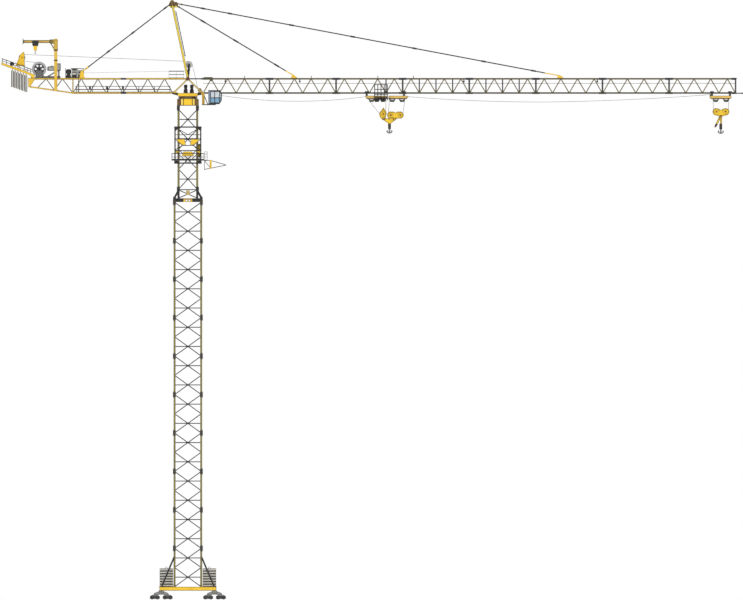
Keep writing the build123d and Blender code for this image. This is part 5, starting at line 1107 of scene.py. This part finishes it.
def trolley_trim(wheels, sheaves, sills):
    """Wheel caps with blocks, dark sills, and axle plates where the cage leaves them free."""
    caps, plates, blocks = Shape(), Shape(), Shape()
    oblong = [(29 * a, 10.5 * b) for a, b in (polar(1, 18 * i) for i in range(20))]
    near, far = TROLLEY_FACE, TROLLEY_FACE + 3.5
    for start, end in sills:
        blocks.box((start, near, SHEAVE_Z + 4), (end, far, SHEAVE_Z + 15))
    for x in wheels:
        blocks.box((x - 27, near, AXLE_Z - 17), (x + 27, far, AXLE_Z + 19))
        caps.cap((x, near + 0.5, AXLE_Z), OUT, 19, 15, 2, 3.5)
        for dx in (-8, 8):
            caps.bolt((x + dx, near + 0.5, SHEAVE_Z + 60), OUT, 3, 2.5)
    blocks.mirrored()
    caps.mirrored()
    for x in sheaves:
        caged = CAGE_LOW < x < CAGE_HIGH
        for side in (1,) if caged else SIDES:
            plates.prism(oblong, side * near, side * far, "y", (x, SHEAVE_Z - 2))
            for dx in (-17, 17):
                caps.bolt((x + dx, side * far, SHEAVE_Z - 2), (0, side, 0), 2.6, 1.6)
    return caps, plates, blocks


for body, wheels, sheaves, sills in (
    ("inner_trolley", (2685, 3245), (2758, 2836, 2930, 3069, 3216), ((2684, 2992), (3020, 3290))),
    ("outer_trolley", (7869, 8139), (7926, 8081), ((7853, 8143),)),
):
    caps, plates, blocks = trolley_trim(wheels, sheaves, sills)
    make(body, f"{body}_wheel_caps", caps, black_paint, "machine_yellow", smooth=True)
    make(body, f"{body}_axle_plates", plates, pale_steel, "winch_grey", bevel=0.8)
    make(body, f"{body}_wheel_blocks", blocks, black_paint, "machine_yellow")

cage = Shape()
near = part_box("maintenance_cage")[0].y / MM + 4
low, high = foot_of("maintenance_cage"), top_of("maintenance_cage")
for x in (2804, 2852, 2900, 2948, 2996):
    cage.tube([(x, near, low + 3), (x, near, high - 4)], 6.5, 10)
for z in (low + 45, low + 90, low + 165, high - 4):
    cage.tube([(2804, near, z), (2996, near, z)], 6.0, 10)
make("inner_trolley", "maintenance_cage_frame", cage, black_paint, "machine_yellow", smooth=True)

INNER_PINS = ((-93, 0, 11, 20), (18, -14, 11, 20), (162, -14, 11, 20), (60, -76, 8, 24), (-80, -76, 8, 24))
INNER_BOLTS = ((-130, 0), (-92, 70), (-100, -50), (90, 2), (90, -40), (40, 22), (140, 22))
OUTER_PINS = ((-65, 0, 11, 20), (73, 0, 11, 20), (0, -70, 8, 23), (-84, -226, 11, 20))
OUTER_BOLTS = ((-98, -14), (106, -14), (-30, 30), (38, 30), (4, -20))
HORN = ((26, -9), (27, 12), (31, 23), (36, 22), (43, 12), (45, -4), (38, -15))
SADDLE = ((38, -13), (28, -25), (12, -30), (-12, -30), (-28, -25), (-38, -13), (-30, -9), (-22, -13))
SADDLE += ((0, -9), (22, -13), (30, -9))
hooks = (
    ("inner_hook", *INNER_HOOK, INNER_PINS, INNER_BOLTS),
    ("outer_hook", *OUTER_HOOK, OUTER_PINS, OUTER_BOLTS),
)
for hook, x, z, pins, bolts in hooks:
    caps = Shape()
    for dx, dz, radius, face in pins:
        caps.cap((x + dx, face, z + dz), OUT, radius, radius - 3, 2.5, 4)
    for dx, dz in bolts:
        caps.bolt((x + dx, 16, z + dz), OUT, 3.2, 3)
    make(f"{hook}_block", f"{hook}_block_pins", caps.mirrored(), pin_paint, "hook_steel", smooth=True)
for hook, x, *others in hooks:
    horns, saddle = Shape(), Shape()
    at = (x, foot_of(hook) + 22)
    for side in SIDES:
        horns.prism([(side * a, b) for a, b in HORN], -8.5, 8.5, "y", at)
    saddle.prism(SADDLE, -8, 8, "y", at)
    make(hook, f"{hook}_horn_tips", horns, black_paint, "hook_steel", bevel=1.2)
    make(hook, f"{hook}_saddle", saddle, hook_steel, "hook_steel", bevel=1.2)


# Ropes

ROPE = 3.0


def sag_points(start, middle, end, count=60):
    """Points of the arc through three points of the X and Z plane."""
    a, b, c = (complex(*point) for point in (start, middle, end))
    ratio = (c - a) / (b - a)
    centre = a + (b - a) * (ratio - abs(ratio) ** 2) / (2j * ratio.imag)
    first, last = (math.degrees(cmath.phase(point - centre)) for point in (a, c))
    return wrap((centre.real, centre.imag), abs(a - centre), first, last, count)


def wrap(centre, radius, first, last, count=18):
    """Points of a rope round a pulley, angles in degrees."""
    spokes = [polar(radius, first + (last - first) * i / count) for i in range(count + 1)]
    return [(centre[0] + a, 0, centre[1] + b) for a, b in spokes]


def even_weights(piece, start, end):
    """Spread a rope's stretch evenly along its length."""
    run = Vector(end) - Vector(start)
    attribute = piece.data.attributes["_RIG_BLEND"]
    for vertex, weight in zip(piece.data.vertices, attribute.data):
        share = (vertex.co - Vector(start)).dot(run) / run.length_squared
        weight.value = min(max(share, 0.0), 1.0)


def stretched_rope(name, node, points, bodies, step=9.0):
    """Rope between two bodies that takes a CAD rope's place."""
    shape = Shape()
    shape.strand(points, ROPE, 46.0, step)
    piece = make(None, name, shape, rope_grey, "rope_steel", smooth=True)
    start = tuple(Vector(points[0]) * MM)
    end = tuple(Vector(points[-1]) * MM)
    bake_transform(piece, bodies[0], bodies[1], start=start, end=end)
    even_weights(piece, start, end)
    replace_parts(piece, node)


def fall(top_x, block_x, block_z, block_radius, side):
    """Two ends of a rope fall, tangent to a trolley sheave and a block sheave."""
    upper = 38 + 3.3
    lower = block_radius + 3.3
    run = Vector((block_x - top_x, 0, block_z - SHEAVE_Z))
    along = run.normalized()
    lean = (upper - lower) / run.length
    across = Vector((-along.z, 0, along.x)) * side
    normal = along * lean + across * math.sqrt(1 - lean * lean)
    start = Vector((top_x, 0, SHEAVE_Z)) + normal * upper
    end = Vector((block_x, 0, block_z)) + normal * lower
    return [tuple(start), tuple(end)]


LUG = SHEAVE_Z + 39
LOWEST = (5332.0, SHEAVE_Z - 41)
guide = (GUIDE_PULLEY[0] - 6, GUIDE_PULLEY[1] - 25.2)
points = sag_points(guide, (1278, SHEAVE_Z - 20), (2663, LUG))
stretched_rope("slack_rope_root", "rope_sag_root", points, ("superstructure", "inner_trolley"))
points = sag_points((3310.3, LUG), (4300, SHEAVE_Z - 20), LOWEST)
stretched_rope("slack_rope_middle", "rope_sag_middle", points[::-1], ("superstructure", "inner_trolley"))
points = sag_points((LOWEST[0] + 0.3, LOWEST[1]), (6600, SHEAVE_Z - 5), (7835.7, SHEAVE_Z + 70))
stretched_rope("slack_rope_tip", "rope_sag_tip", points, ("superstructure", "outer_trolley"))

for zone, (x, z), runs in (
    (
        "inner",
        INNER_HOOK,
        (
            ("first", 2758, -93, 0, 36, -1),
            ("second", 2930, -93, 0, 36, 1),
            ("third", 3069, 18, -14, 34, -1),
            ("fourth", 3216, 162, -14, 34, 1),
        ),
    ),
    ("outer", OUTER_HOOK, (("first", 7926, -65, 0, 40, -1), ("second", 8081, 73, 0, 40, 1))),
):
    for place, top_x, dx, dz, radius, side in runs:
        ends = fall(top_x, x + dx, z + dz, radius, side)
        bodies = (f"{zone}_trolley", f"{zone}_hook_block")
        stretched_rope(f"{zone}_fall_{place}", f"{zone}_falls", ends, bodies, 6.0)

path = [(DRUM[0] - 4, 0, DRUM[1] + 87.2)]
path += wrap(FIN_PULLEY, 48.2, -83, -267.6)
path += wrap(HEAD_PULLEY, 48.2, 92.4, 9.5)
path += wrap(GUIDE_PULLEY, 25.2, 166.2, 256.6)
hoist, run = Shape(), Shape()
hoist.strand(path, ROPE, 46.0, 9.0)
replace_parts(make_upper("hoist_rope_run", hoist, rope_grey, "rope_steel", True), "hoist_rope")
run.strand([(-1571, 0, MACHINE_BASE + 75)] + wrap(SMALL_SHEAVE, 14.2, -92, 60, 10), 2.0, 30.0, 9.0)
make_upper("trolley_rope_run", run, rope_grey, "rope_steel", True)


# Stage, light and camera


def stage():
    """Pale floor, plain sky and soft light, with the camera square to the crane's side."""
    mesh = bpy.data.meshes.new("floor")
    size = 300.0
    corners = [(-size, -size, 0), (size, -size, 0), (size, size, 0), (-size, size, 0)]
    mesh.from_pydata(corners, [], [(0, 1, 2, 3)])
    floor = add_object("floor", mesh)
    floor.location.z = -0.001
    mesh.materials.append(Surface("floor_white").closed((0.92, 0.92, 0.92, 1), 0.9))
    floor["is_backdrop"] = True

    world = bpy.data.worlds.new("sky")
    bpy.context.scene.world = world
    sky = Tree(world)
    rays = sky.nodes.new("ShaderNodeLightPath").outputs
    mirrored = sky.either(rays["Is Transmission Ray"], rays["Is Glossy Ray"])
    strength = sky.ranged(sky.either(rays["Is Camera Ray"], mirrored), 0.0, 1.0, 0.72, 1.0)
    sky.fill(sky.nodes["Background"], Color=(1, 1, 1, 1), Strength=strength)

    for name, direction, energy, angle in (
        ("key", (0.45, 0.75, -0.65), 0.95, 18),
        ("fill", (-0.6, 0.6, -0.3), 0.35, 40),
    ):
        lamp = bpy.data.lights.new(name, "SUN")
        lamp.energy = energy
        lamp.angle = math.radians(angle)
        holder = add_object(name, lamp)
        holder.rotation_mode = "QUATERNION"
        holder.rotation_quaternion = Vector(direction).to_track_quat("-Z", "Y")

    eye = bpy.data.cameras.new("camera")
    eye.type = "ORTHO"
    eye.ortho_scale = 11.156
    eye.clip_end = 200
    camera = add_object("camera", eye)
    camera.location = (2.757, -30.0, 4.497)
    camera.rotation_euler = (math.radians(90), 0, 0)
    bpy.context.scene.camera = camera
    bpy.context.scene.view_settings.view_transform = "Standard"


stage()
bpy.context.view_layer.update()
low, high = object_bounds()
